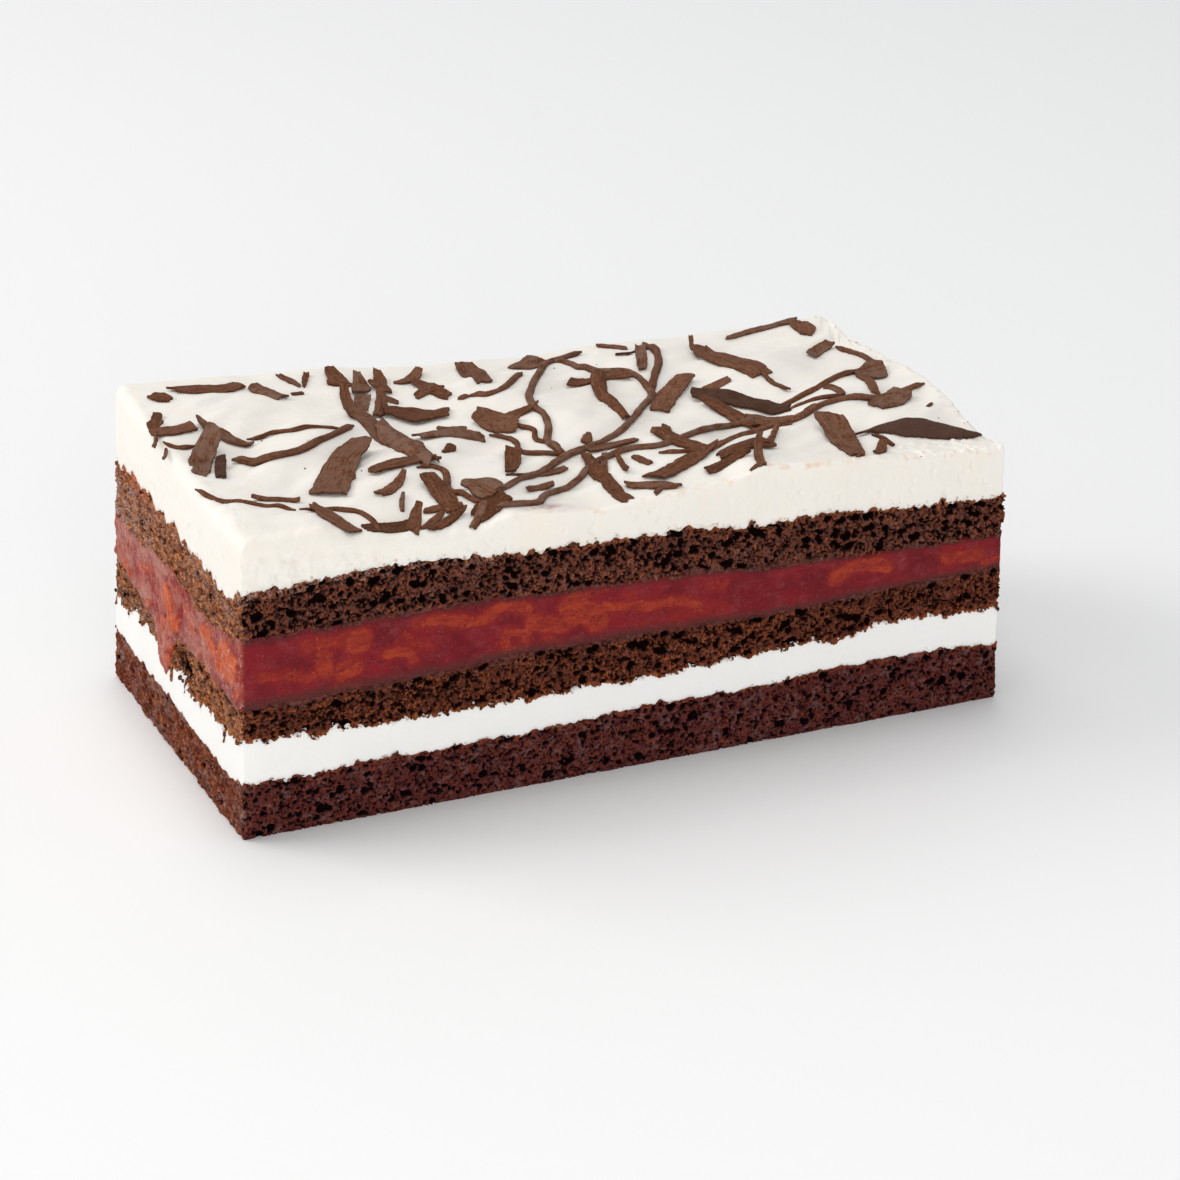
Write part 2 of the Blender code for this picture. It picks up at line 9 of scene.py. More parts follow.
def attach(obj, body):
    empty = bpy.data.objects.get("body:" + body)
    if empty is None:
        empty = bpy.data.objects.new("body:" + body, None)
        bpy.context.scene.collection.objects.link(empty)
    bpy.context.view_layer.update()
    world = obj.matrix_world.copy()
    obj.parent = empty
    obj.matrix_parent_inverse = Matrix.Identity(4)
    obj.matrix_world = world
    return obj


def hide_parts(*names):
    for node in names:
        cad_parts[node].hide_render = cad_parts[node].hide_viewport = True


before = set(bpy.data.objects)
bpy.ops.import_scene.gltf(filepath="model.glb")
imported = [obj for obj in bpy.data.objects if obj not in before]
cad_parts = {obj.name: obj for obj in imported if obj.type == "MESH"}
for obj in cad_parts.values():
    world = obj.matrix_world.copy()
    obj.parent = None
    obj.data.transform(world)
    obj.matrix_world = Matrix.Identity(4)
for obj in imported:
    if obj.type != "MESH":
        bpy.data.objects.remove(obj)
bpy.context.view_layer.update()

# Lengths are in millimetres until a mesh is made.
MM = 0.001
LENGTH = 174.0
DEPTH = 85.4
CORNER = 0.8
# Steps of the columns around the slice, finest where the photo shows it.
FRONT_STEP = 0.235
LEFT_STEP = 0.27
FAR_STEP = 0.6
# Height of a row of the sponges, how far the closing faces are drawn in, and the cream's grid.
SPONGE_ROW = 0.25
CAP_INSET = 8.0
GRID_INSET = 4.4
GRID_STEP = 0.58
# Height over which the ends lean in.
LEAN_HEIGHT = 62.0
# Middle of the cherry pulled down at the left end, and of the hollow beside it.
TONGUE_FROM_FRONT, TONGUE_HEIGHT = 49.6, 22.0
HOLLOW_FROM_FRONT, HOLLOW_HEIGHT = 38.0, 22.5
# Radii of large, middling and small pores.
PORE_RADII = ((0.5, 1.0), (0.3, 0.52), (0.16, 0.3))
# Flakes this long are shaped like a lens, and the tones that mark those and the darkest ones.
LENS_LENGTH = 25
LENS_BLOOM = -1.0
DARK_BLOOM = 2.0
FLAKE_THICKNESS = 0.5
THREAD_STEP = 0.7
THREAD_SIDES = 10
# Numbers that the value noise runs between.
LATTICE = np.random.default_rng(7).random((8, 256, 256))

# Heights of the layer edges around the slice, the same as the solids have, as (distance, height).
LOWER_SPONGE_TOP = {
    "front": ((0, 12), (60, 12.2), (85, 13.2), (120, 13.3), (134, 14.4), (158, 14.2), (174, 12.5)),
    "right": ((0, 12.5), (25, 13), (50, 12.2), (85, 12)),
    "back": ((0, 11.7), (40, 12.4), (90, 12.9), (130, 12.2), (174, 12)),
    "left": ((0, 12), (8, 10.6), (30, 10.8), (50, 11.1), (68, 10.9), (85, 11.7)),
}
MIDDLE_SPONGE_BASE = {
    "front": ((0, 21), (30, 20.1), (65, 19.9), (110, 20), (135, 20.9), (148, 22.4), (174, 21)),
    "right": ((0, 21), (30, 21.8), (60, 20.6), (85, 20.2)),
    "back": ((0, 19.9), (50, 20.6), (100, 21), (140, 20), (174, 20.2)),
    "left": ((0, 21), (12, 19), (20, 20.2), (30, 17.8), (44, 18.8), (60, 20.8), (85, 19.9)),
}
CHERRY_BASE = {
    "front": ((0, 28.3), (44, 29.2), (62, 30.4), (82, 30), (120, 29.2), (145, 30.6), (174, 31.2)),
    "right": ((0, 31.2), (30, 30.4), (55, 31), (85, 30)),
    "back": ((0, 29.4), (45, 30.2), (95, 29.4), (140, 30.6), (174, 30)),
    "left": ((0, 28.3), (20, 28), (34, 28), (49, 24.4), (60, 25), (72, 26.9), (85, 29.4)),
}
CHERRY_TOP = {
    "front": ((0, 42.4), (45, 42.8), (76, 41.6), (100, 41), (120, 39.4), (150, 38.7), (174, 38.2)),
    "right": ((0, 38.2), (30, 38.9), (60, 38.2), (85, 38.4)),
    "back": ((0, 38.3), (50, 39.2), (100, 38.5), (140, 39.2), (174, 38.4)),
    "left": ((0, 42.4), (8, 40.2), (25, 38.6), (45, 39.7), (60, 39.3), (72, 37.6), (85, 38.3)),
}
UPPER_SPONGE_TOP = {
    "front": ((0, 52), (30, 53.6), (55, 52.6), (64, 51.3), (85, 51.5), (120, 49.8), (174, 47.6)),
    "right": ((0, 47.6), (30, 48.6), (60, 49.2), (85, 49.4)),
    "back": ((0, 50), (50, 50.8), (100, 50), (140, 49.2), (174, 49.4)),
    "left": ((0, 52), (10, 48.9), (30, 49.7), (46, 49.9), (62, 51), (74, 51.2), (85, 50)),
}
CREAM_CREST = {
    "front": (
        (0, 62.6), (8, 63.2), (15, 63.6), (27, 60.7), (42, 58.5), (50, 58.4), (59, 60.4), (66, 60.1),
        (78, 58.7), (95, 59.9), (106, 60.2), (115, 62.2), (128, 61.4), (140, 60.8), (152, 59.4), (174, 58.2),
    ),
    "right": ((0, 58.2), (9, 57.9), (17, 59.4), (26, 61.8), (36, 63.2), (54, 62.3), (68, 61.2), (85, 61.9)),
    "back": (
        (0, 66.9), (14, 66.5), (40, 65.6), (76, 62.5), (95, 61.6), (113, 62.3), (137, 61.3), (174, 61.9),
    ),
    "left": ((0, 62.6), (12, 62.9), (30, 63.6), (50, 64.6), (70, 66), (85, 66.9)),
}

# Shavings: x, y, turn in degrees, length, width at the start, the middle and the end, lift of the
# whole piece, and further rise of its end.
SHAVINGS = (
    (-66, 36, 2, 15, 2.5, 5.2, 3.5, 0, 0), (-54, 30.5, 118, 9, 3.5, 4.3, 4.5, 0, 0.3),
    (-80, 15.5, 179, 9.5, 4.6, 5.2, 4.4, 0.2, 0), (-77.5, 0.5, 59, 16, 4, 5.6, 3.6, 0.3, 4),
    (-70.5, 10.5, 123, 13.5, 2.4, 3.1, 2.4, 0.1, 1), (-53, -13, 52, 22, 7.3, 7.8, 6.2, 0.1, 2.2),
    (-63.5, -34.5, 109, 14, 4.2, 5.7, 2.6, 0.2, 0.8), (-53.5, -38, 9, 11.5, 3.2, 5, 4.3, 0, 0.3),
    (-39, -29, 90, 13, 3, 5, 4.6, 0.4, 1.4), (-31, -30.5, 121, 8.5, 6.2, 6.3, 2.5, 0.5, 0.5),
    (-31.5, -37.5, 18, 8.5, 4, 6.2, 5, 0, 0.2), (-13.5, 1.5, 146, 9.5, 5, 7.3, 6.5, 0.4, 1),
    (-19, -19, 62, 10.5, 1.6, 3.4, 4, 0.2, 1), (-27.5, 12, 156, 14, 5, 9, 4, 0.2, 0.8),
    (-39.5, 4.5, 96, 20, 2.6, 4.6, 4, 0.2, 1), (-36.5, -5, 94, 24, 4, 6.2, 3.6, 0.3, 1),
    (-41.5, -16.5, 9, 15.5, 2.4, 3.3, 1.5, 0.6, 0.5), (-26, -3, 176, 14.5, 3, 4, 2.5, 0.2, 0.3),
    (-39, 21.5, 77, 17, 2.8, 2.3, 2, 0.2, 0.8), (-19, 25, 110, 12, 2.8, 4.3, 2.9, 0.2, 0.9),
    (-6.5, 31, 87, 14, 3.7, 4.7, 4, 0, 0.8), (8.5, 35.5, 36, 9, 5.3, 6.5, 5.3, 0, 0.4),
    (32.5, 27, 67, 17, 2.4, 2.3, 2.2, 0, 0.8), (18.5, 19, 162, 13, 3.3, 3.5, 3.5, 0.1, 0),
    (16, 7, 81, 24, 2.6, 3.2, 3.6, 0.1, 1.4), (30.5, 7, 45, 18, 4, 5.6, 4, 0.3, 0.8),
    (50.5, 18, 106, 22, 6.2, 9, 7.2, 0.1, 1.2), (78, 35.5, 74, 7, 3.2, 5.3, 5.3, 0, 0.3),
    (69.5, 39, 9, 20, 1.3, 2.2, 2.6, 0.1, 0), (77, 1, 51, 13, 5.2, 6.8, 3.5, 0.4, 0.8),
    (42.5, -2, 137, 22, 3.4, 5.6, 3.9, 0.8, 0.5), (37.5, -6.5, 111, 16, 3.2, 5.2, 2.6, 0.2, 0.8),
    (43.5, -14, 148, 10, 4.6, 7.6, 7.6, 0, 0.5), (29, -30, 18, 15.5, 3.4, 4.5, 3.3, 0.2, 0.2),
    (15, -30.5, 27, 22, 4.4, 3.6, 2.6, 0, 0.3), (19, -20, 115, 15, 5, 5.3, 4.3, 0.1, 0.5),
    (-3, -30.5, 89, 22, 3, 3.5, 2.4, 0.2, 0.9), (51.5, -31, 79, 20, 3.3, 5.3, 6.3, 0.1, 2.4),
    (70.5, -31.5, 167, 26, 5.5, 7.8, 4.2, 0.5, 0.2), (72, -15, 29, 11.5, 4.3, 6.2, 4.4, 0.1, 0.5),
    (5, -16.5, 3, 11.5, 2.6, 3.4, 2, 0.1, 0.1), (-76.5, -4.5, 71, 9, 2.2, 2.6, 2.3, 0.2, 1.2),
    (-71, -22, 177, 9.5, 1.4, 2.4, 1.6, 0, 0.2), (-47.5, -37.5, 59, 8, 3.3, 2.8, 1.5, 0.3, 3),
    (-8, 3.5, 12, 11, 1.4, 2.7, 2, 0, 0.3), (-36.5, 19.5, 67, 7, 2.8, 3.5, 3.5, 0.3, 0.6),
    (-33.5, 18.5, 64, 11, 2.1, 2.7, 2, 0.5, 0.6), (-36.5, 36, 100, 6.5, 3, 3.5, 2.6, 0.4, 1.4),
    (-28, 32.5, 72, 9, 2.5, 2.9, 2.1, 0.4, 1.2), (-20.5, 33.5, 41, 10, 2.4, 3.1, 2.6, 0.2, 0.5),
    (76, 23, 35, 9.5, 3.4, 3.1, 2.7, 0, 0.3), (4, -37.5, 149, 11, 2.2, 3.1, 1.7, 0, 0.3),
    (30, -35.5, 66, 13, 1.8, 1.7, 1.5, 0.3, 2.8),
)
# Which of them are the darkest.
DARK_SHAVINGS = (30, 41)
# Small loose shavings, in the same terms.
SMALL_SHAVINGS = (
    (-44, -37.5, 33, 7.5, 1.1, 1.9, 1.2, 0.5, 0.5), (-35, -39, 48, 6.5, 1.8, 1.8, 1.8, 0.2, 1),
    (-24, 1, 149, 6.5, 2.2, 2.4, 1.3, 0, 0.3), (-47, -23, 37, 10, 1.8, 2.2, 1, 0, 0.4),
    (56.5, -38, 50, 8.5, 1.5, 2.3, 2.1, 0, 0.4), (71.5, -6.5, 87, 8.5, 2.4, 2.4, 2.3, 0, 0.3),
    (-77, 33, 134, 4.5, 2.5, 3.5, 3, 0, 0), (-47.5, 30.5, 17, 3, 1.4, 2, 1.5, 0, 0),
    (-81, 23.5, 68, 4.5, 1.5, 2.2, 1.8, 0, 0.3), (-29.5, -10, 45, 4.5, 0.9, 1.8, 2.6, 0, 0.3),
    (-37, 33, 152, 5.5, 1.8, 1.8, 1.7, 0, 0.4), (-30, 21, 126, 4.5, 1.7, 2.4, 1.5, 0, 0.3),
    (-14.5, 17, 32, 2.6, 1.6, 1.7, 1.6, 0, 0), (32, 32, 166, 6, 1.7, 1.6, 1.2, 0.6, 0),
    (62.5, -8, 106, 5, 1.9, 1.9, 1.8, 0.1, 0.2), (53.5, -13.5, 18, 3.6, 1.1, 1.6, 1.6, 0.1, 0),
    (1, -12.5, 48, 3.2, 2.6, 2.3, 1.3, 0, 0.2), (7, -26.5, 106, 5, 1.9, 2.1, 1.9, 0.1, 0.2),
    (-47, -29, 67, 7, 0.9, 1.1, 0.8, 0, 0.3), (-30, 27, 98, 7, 2.4, 3.2, 1.8, 0.8, 0.5),
    (-43.5, 36.5, 64, 6, 0.8, 1.5, 1.3, 0, 0.4), (-15, -24, 14, 14, 1.3, 1.6, 1.5, 0.1, 0.1),
    (54, 4, 99, 10, 1.4, 1.4, 1.3, 0, 0.3), (0, -23.5, 67, 7.5, 1.4, 1.3, 1.1, 0.2, 0.3),
    (-40, -33.5, 171, 8, 1.6, 2.2, 1.4, 0.3, 0), (38.5, -24.5, 51, 12, 1.3, 1.3, 1.1, 0.5, 0.5),
    (-47, 37, 113, 6.5, 1.2, 1.5, 1.2, 0, 0.3), (-82.5, 19.5, 59, 4, 1.6, 3, 2.7, 0, 0.4),
    (-41.5, -38.5, 26, 11, 1.4, 2, 1.3, 0.3, 0.3), (-18, -31, 28, 8.5, 1.4, 1.6, 1.1, 0.1, 0.2),
    (-20.5, 23, 26, 7.5, 2.2, 2.9, 2.4, 0.4, 0.3), (31, 39, 145, 7, 2.2, 2, 1.5, 0, 0.2),
    (40.5, 7.5, 16, 10.5, 1.7, 2.6, 1.9, 0.2, 0), (47.5, 31.5, 69, 7.5, 1.2, 1.2, 1, 0, 2),
    (21.5, -36, 11, 11, 2.5, 2.8, 2.1, 0, 0.1), (-33.5, 30, 75, 9, 4.1, 3.7, 1.8, 0.3, 1.5),
    (-85, 12.5, 70, 6, 0.6, 0.7, 0.5, 0, 0.2), (-85, 5.5, 66, 6, 0.5, 0.7, 0.5, 0, 0.2),
    (79, -20.5, 40, 2.5, 0.8, 1, 0.7, 0, 0), (19.5, -12.5, 82, 5, 0.8, 0.8, 0.6, 0, 0.2),
    (4.5, -40, 39, 4.5, 1.2, 1.2, 1, 0, 0.2), (25.5, -41, 24, 3, 0.7, 1.1, 1, 0.2, 0),
    (50.5, -40, 52, 4, 1, 1.2, 0.5, 0, 0.2), (60.5, -33, 105, 5.5, 0.8, 1.2, 0.8, 0, 0.2),
    (2.5, -26, 81, 8.5, 1.1, 1, 0.9, 0.4, 0.4),
)

# Chocolate threads: radius, then the x, y points that each one runs through.
THREADS = (
    (0.61, (-66.5, 8.5), (-54.5, 6), (-46.5, 5.5)),
    (1.02, (-72.5, 0), (-69.5, -4), (-67, -5), (-59.5, -4), (-51, 1.5), (-43.5, 7.5)),
    (0.7, (-85, -14), (-80.5, -21.5), (-74, -25.5), (-69.5, -29)),
    (0.74, (-68.5, -28.5), (-62, -29.5), (-57.5, -31.5), (-56, -36), (-56.5, -40.5)),
    (0.86, (-39.5, -18), (-36, -17.5), (-34, -20), (-36, -26.5), (-35, -31.5), (-32, -35.5)),
    (
        0.94, (-32, -34.5), (-25, -31.5), (-16.5, -25), (-6.5, -18), (2, -14.5), (10.5, -9.5), (20.5, 1.5),
        (26, 8), (27, 14), (25.5, 18.5), (21, 24), (18, 29), (16, 34), (13, 36.5),
    ),
    (
        0.94, (23, 38), (18, 36), (13, 34), (6, 24.5), (-1.5, 12), (-3.5, 5), (-3.5, 0), (-5, -6),
        (-7.5, -11), (-7.5, -15), (-5.5, -18),
    ),
    (0.74, (-17, -2.5), (-13.5, -4.5), (-13.5, -9), (-14.5, -13), (-11.5, -16.5), (-2.5, -17)),
    (0.9, (-13, 17), (-10, 14.5), (-4.5, 18), (4.5, 29.5)),
    (1.15, (39, 39), (37, 29.5), (34.5, 22), (30.5, 16), (26.5, 10)),
    (0.94, (48, -7), (59, -4.5), (72, 1.5), (81, 5.5)),
    (
        0.94, (83.5, -10.5), (78, -11.5), (71, -13), (64.5, -12.5), (58, -13), (48, -16.5), (42, -16.5),
        (33, -20.5), (22.5, -27.5),
    ),
    (
        0.9, (-31, -38.5), (-27, -39), (-21.5, -38), (-17.5, -34), (-4, -24), (1.5, -21.5), (7.5, -19.5),
        (13.5, -21), (22, -17.5), (33, -12), (43.5, -9),
    ),
    (0.74, (-10.5, 0), (-8, -5), (-9, -9), (-7, -13), (-6.5, -16.5)),
    (0.9, (81, 24.5), (82, 15.5), (81, 7.5)), (0.74, (12, -24), (15.5, -26), (22, -27)),
    (0.74, (49.5, -10), (56.5, -10), (63.5, -11)), (0.74, (-83.5, 11), (-81.5, 8), (-77.5, 8)),
)

# Cherry pieces cut through at the front: strength, half thickness, then the middle line's points as
# distance from the left end and height.
FRONT_FRUIT = (
    (0.6, 1, (4.7, 34.6), (8.7, 34.1), (11.4, 33.7), (13.9, 32.8), (15.3, 33.2)),
    (0.65, 1.3, (13.6, 39.5), (17.1, 39.9), (20.6, 39.5), (23.3, 40.6)), (0.95, 2.8, (24.4, 38.9)),
    (0.9, 1.6, (17.3, 36.6), (17.9, 33.8)), (0.8, 1.9, (21.4, 32.8), (23.8, 33.5)),
    (0.85, 0.5, (20, 29.8), (24.7, 29.1)), (0.95, 1, (31, 34.9), (33.2, 35.2), (35.5, 34.6), (36.5, 32.9)),
    (0.6, 0.6, (34.7, 38.6), (37.4, 36.2), (40.2, 35.3)),
    (
        1, 1.15, (37.6, 40.7), (41.9, 40.6), (46, 39.5), (50.5, 38.8), (53.1, 39.8), (55.9, 41.1),
        (58.9, 40.8), (61.4, 39.5),
    ),
    (0.85, 0.85, (56.8, 35.5), (61.2, 34.8), (60.8, 31.3), (56.8, 31.1), (55.9, 33.5), (56.8, 35.5)),
    (1, 1.6, (62.5, 36.7), (65.6, 35.5), (68.5, 34.6), (71.3, 35.7)), (1, 1.8, (70, 38.5), (72.1, 40.4)),
    (0.6, 0.8, (65.2, 33), (67, 31.6), (69.2, 30.5)),
    (1, 2.3, (70.6, 38.7), (73.3, 37.1), (75.8, 36), (76.9, 34.7)),
    (0.7, 0.8, (73.9, 40.1), (76.6, 41), (78.3, 41.8)),
    (
        0.9, 1, (78.9, 37.1), (82.5, 36.7), (86.3, 36.7), (88.6, 35.9), (91.6, 35.8), (94.8, 35.8),
        (97.8, 35.3), (100.6, 33.7),
    ),
    (0.5, 0.8, (84, 38.6), (85.6, 38.8)), (0.35, 2, (92.6, 30.9), (100.6, 32.3), (105.5, 32.2)),
    (0.35, 1.2, (86.5, 31.3), (93.3, 30.6)), (0.5, 1, (103, 38.2), (106.2, 37.9)),
    (1, 1.35, (132.4, 35), (136, 36.7), (139.3, 37.1), (142.5, 36.7), (145, 35.6)),
    (0.75, 1.4, (159.7, 35.2), (164, 34.9), (168, 34.7)), (0.6, 0.8, (169.2, 32.6), (173, 33)),
)
# The same at the left end, with the distance from the front.
LEFT_FRUIT = (
    (1, 1.7, (47.2, 35.2), (45.6, 32.2)), (1, 1.6, (45, 29.4), (40.8, 30.2)),
    (0.5, 2.6, (34, 34.6), (31, 33)), (1, 1.4, (22.4, 36.6), (17.5, 35.6), (13.5, 34.5)),
    (1, 3.2, (9.5, 36.2), (5, 35.2)), (0.8, 1.4, (14, 32.8), (9, 32.2)), (0.6, 1.6, (2.5, 31)),
    (0.85, 0.9, (77.2, 30.4), (73.5, 28.4)), (0.7, 0.8, (60.6, 26.6), (58, 28)),
    (0.6, 1.6, (50, 27), (49, 24.8)), (0.6, 1.2, (66, 33), (62, 34)),
)


def smooth(low, high, value):
    t = np.clip((value - low) / (high - low), 0, 1)
    return t * t * (3 - 2 * t)


def bell(*spans):
    # 1 in the middle, falling to about a third one span away.
    return np.exp(-sum(span ** 2 for span in spans))


def along(pairs, distance):
    # Smooth value between the (distance, value) pairs.
    places, values = np.array(pairs, float).T
    spot = np.clip(distance, places[0], places[-1])
    i = np.clip(np.searchsorted(places, spot, side="right") - 1, 0, len(places) - 2)
    share = smooth(places[i], places[i + 1], spot)
    return values[i] * (1 - share) + values[i + 1] * share


def noise(u, v, seed):
    # Smooth value noise from 0 to 1 with unit cells.
    u = np.asarray(u, float) + 37.3 * seed
    v = np.asarray(v, float) + 11.9 * seed
    iu, iv = np.floor(u).astype(int), np.floor(v).astype(int)
    fu, fv = smooth(0, 1, u - iu), smooth(0, 1, v - iv)
    table = LATTICE[seed % 8]
    a, b = table[iu & 255, iv & 255], table[(iu + 1) & 255, iv & 255]
    c, d = table[iu & 255, (iv + 1) & 255], table[(iu + 1) & 255, (iv + 1) & 255]
    return (a * (1 - fu) + b * fu) * (1 - fv) + (c * (1 - fu) + d * fu) * fv


def cloud(u, v, seed, octaves=3):
    # Summed noise around 0, about -1 to 1.
    total, weight, reach = 0.0, 1.0, 0.0
    for k in range(octaves):
        total = total + weight * (2 * noise(u * 2.03 ** k, v * 2.03 ** k, seed + k) - 1)
        reach += weight
        weight *= 0.55
    return total / reach


def lean(x, y, z):
    # The cut ends lean in a little towards the top.
    u, v = x / LENGTH + 0.5, y / DEPTH + 0.5
    return z / LEAN_HEIGHT * ((1 - u) * (1.2 + 1.4 * v) - u * 2 * (1 - v))


def outline():
    # Columns around the slice, anticlockwise from the back right corner: x, y, outward normal.
    hx, hy = LENGTH / 2, DEPTH / 2
    ex, ey = hx - CORNER, hy - CORNER
    rows = []

    def run(x0, y0, x1, y1, step, normal):
        count = round(math.dist((x0, y0), (x1, y1)) / step)
        for i in range(count):
            t = i / count
            rows.append((x0 + (x1 - x0) * t, y0 + (y1 - y0) * t, *normal))

    def turn(cx, cy, start):
        for i in range(6):
            a = math.radians(start + 15 * i)
            rows.append((cx + CORNER * math.cos(a), cy + CORNER * math.sin(a), math.cos(a), math.sin(a)))

    run(ex, hy, -ex, hy, FAR_STEP, (0, 1))
    turn(-ex, ey, 90)
    run(-hx, ey, -hx, -ey, LEFT_STEP, (-1, 0))
    turn(-ex, -ey, 180)
    run(-ex, -hy, ex, -hy, FRONT_STEP, (0, -1))
    turn(ex, -ey, 270)
    run(hx, -ey, hx, ey, FAR_STEP, (1, 0))
    turn(ex, ey, 0)
    return np.array(rows)


# For each column: its place and normal, the way to it around the slice, its distance from the left
# end and from the front, and whether it belongs to the front or to the torn left end.
RX, RY, NX, NY = outline().T
S = np.concatenate(([0.0], np.cumsum(np.hypot(np.diff(RX), np.diff(RY)))))
FROM_LEFT, FROM_FRONT = RX + LENGTH / 2, RY + DEPTH / 2
ON_FRONT = NY < -0.7
ON_LEFT = NX < -0.7
LEFT = smooth(1.2, 0, FROM_LEFT)


def edge(table):
    # Height of a layer's edge in each column.
    high = np.where(NX > 0, along(table["right"], FROM_FRONT), along(table["left"], FROM_FRONT))
    wide = np.where(NY > 0, along(table["back"], FROM_LEFT), along(table["front"], FROM_LEFT))
    return np.where(np.abs(NX) > np.abs(NY), high, wide)


def ragged(seed, size):
    # Crumbly unevenness of a layer's edge.
    coarse = cloud(S / 5, seed, seed, 2) * 0.45
    fine = cloud(S / 1.3, 3.0 * seed, seed + 2, 2) * 0.55
    tooth = np.maximum(0, noise(S / 2.1, seed, seed + 4) - 0.62) * 2.2
    return size * (coarse + fine + tooth)


# Where the knife dragged crumb down over the cream.
FINGERS = 9.0 * np.maximum(0, noise(S / 1.7, 2, 2) - 0.66)
# Heights of the edges between the layers, and their numbers, from the base up.
BASE, LOWER_TOP, MIDDLE_BASE, CHERRY_LOW, CHERRY_HIGH, UPPER_TOP = range(6)
EDGES = [
    np.zeros(len(S)),
    edge(LOWER_SPONGE_TOP) + ragged(1, 1.1),
    edge(MIDDLE_SPONGE_BASE) - ragged(2, 1.6) - LEFT * FINGERS,
    edge(CHERRY_BASE) + ragged(3, 0.55),
    edge(CHERRY_TOP) - ragged(4, 0.55),
    edge(UPPER_SPONGE_TOP) + ragged(5, 1.3) + LEFT * 1.7 * cloud(S / 3, 0, 9, 3),
]


def cream_height(x, y):
    # Height of the cream's upper face, as in the solids.
    px, py = np.clip(x + LENGTH / 2, 0, LENGTH), np.clip(y + DEPTH / 2, 0, DEPTH)
    u, v = px / LENGTH, py / DEPTH
    fl, fr = CREAM_CREST["front"][0][1], CREAM_CREST["front"][-1][1]
    bl, br = CREAM_CREST["back"][0][1], CREAM_CREST["back"][-1][1]
    z = (fl * (1 - u) + fr * u) * (1 - v) + (bl * (1 - u) + br * u) * v
    for side, run, length, start, end, away in (
        ("front", px, LENGTH, fl, fr, py / 20),
        ("back", px, LENGTH, bl, br, (DEPTH - py) / 20),
        ("left", py, DEPTH, fl, bl, px / 20),
        ("right", py, DEPTH, fr, br, (LENGTH - px) / 24),
    ):
        straight = start + (end - start) * run / length
        z = z + (along(CREAM_CREST[side], run) - straight) * bell(away)
    rim = np.minimum(np.minimum(px, LENGTH - px), np.minimum(py, DEPTH - py))
    sweep = 0.9 * np.sin(0.11 * (x + 0.55 * y) + 1.3) + 0.45 * np.sin(0.19 * (x - 1.2 * y) + 0.4)
    hump = 1.2 * bell((x + 26) / 9, (y + 9) / 8) + 1.3 * bell((x - 24) / 12, (y - 26) / 11)
    return z + (1 - bell(rim / 10)) * (sweep + hump)


def top_detail(x, y):
    # Fine sweep marks and dimples of the cream's upper face, and its crust at the right end.
    bent = 6.0 * cloud(x / 30, y / 30, 55, 2)
    folds = 1.2 * cloud((x + 0.6 * y) / 24, (y - 0.5 * x + bent) / 7, 50, 2)
    sweep = 0.16 * cloud((x + 0.5 * y) / 8, (y - 0.5 * x) / 2.4, 52, 3)
    lumps = 0.3 * cloud(x / 11, y / 8, 53, 3)
    crust = smooth(57, 66, x) * smooth(-33, -37, y) + smooth(83, 85.5, x)
    grains = 1.1 * np.maximum(0, cloud(x / 1.3, y / 1.3, 56, 3)) + 0.25 * cloud(x / 0.6, y / 0.6, 57, 1)
    calm = smooth(42.7, 30, np.abs(y)) * smooth(87, 82, np.abs(x))
    return (folds + lumps) * (0.35 + 0.65 * calm) + sweep + crust * grains


def surface(x, y):
    return cream_height(x, y) + top_detail(x, y)


def make_mesh(name, points, faces, mat, values, flat=False):
    # Mesh object from millimetre points; values holds per-vertex numbers for the material.
    mesh = bpy.data.meshes.new(name)
    faces = [np.asarray(f, np.int32) for f in faces]
    loops = np.concatenate([f.ravel() for f in faces])
    sizes = np.concatenate([np.full(len(f), f.shape[1], np.int32) for f in faces])
    mesh.vertices.add(len(points))
    mesh.vertices.foreach_set("co", (np.asarray(points, np.float32) * MM).ravel())
    mesh.loops.add(len(loops))
    mesh.loops.foreach_set("vertex_index", loops)
    mesh.polygons.add(len(sizes))
    mesh.polygons.foreach_set("loop_start", np.cumsum(sizes, dtype=np.int32) - sizes)
    mesh.polygons.foreach_set("loop_total", sizes)
    mesh.polygons.foreach_set("use_smooth", np.full(len(sizes), not flat))
    mesh.update(calc_edges=True)
    mesh.validate()
    for key, data in values.items():
        data = np.asarray(data, np.float32)
        kind, field = ("FLOAT_VECTOR", "vector") if data.ndim == 2 else ("FLOAT", "value")
        mesh.attributes.new(key, kind, "POINT").data.foreach_set(field, data.ravel())
    if not flat:
        mesh.set_sharp_from_angle(angle=math.radians(60))
    mesh.materials.append(mat)
    obj = bpy.data.objects.new(name, mesh)
    bpy.context.scene.collection.objects.link(obj)
    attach(obj, "root")
    return obj


def band(rows, cols):
    # Outward quads of a closed band whose rows go up.
    i, j = np.arange(rows - 1)[:, None] * cols, np.arange(cols)
    k = (j + 1) % cols
    return np.stack([i + j, i + k, i + cols + k, i + cols + j], axis=-1).reshape(-1, 4)


def sheet(index):
    # Quads of a grid of point numbers.
    corners = [index[:-1, :-1], index[1:, :-1], index[1:, 1:], index[:-1, 1:]]
    return np.stack(corners, axis=-1).reshape(-1, 4)


def shell(top, bottom):
    # Closed mesh between two grids of points, of which the first faces up.
    n, m = top.shape[:2]
    index = np.arange(n * m).reshape(n, m)
    upper = sheet(index)
    ring = np.concatenate([index[:-1, 0], index[-1, :-1], index[:0:-1, -1], index[0, :0:-1]])
    after = np.roll(ring, -1)
    wall = np.stack([ring, ring + n * m, after + n * m, after], axis=-1)
    points = np.concatenate([top.reshape(-1, 3), bottom.reshape(-1, 3)])
    return points, np.concatenate([upper, upper[:, ::-1] + n * m, wall])


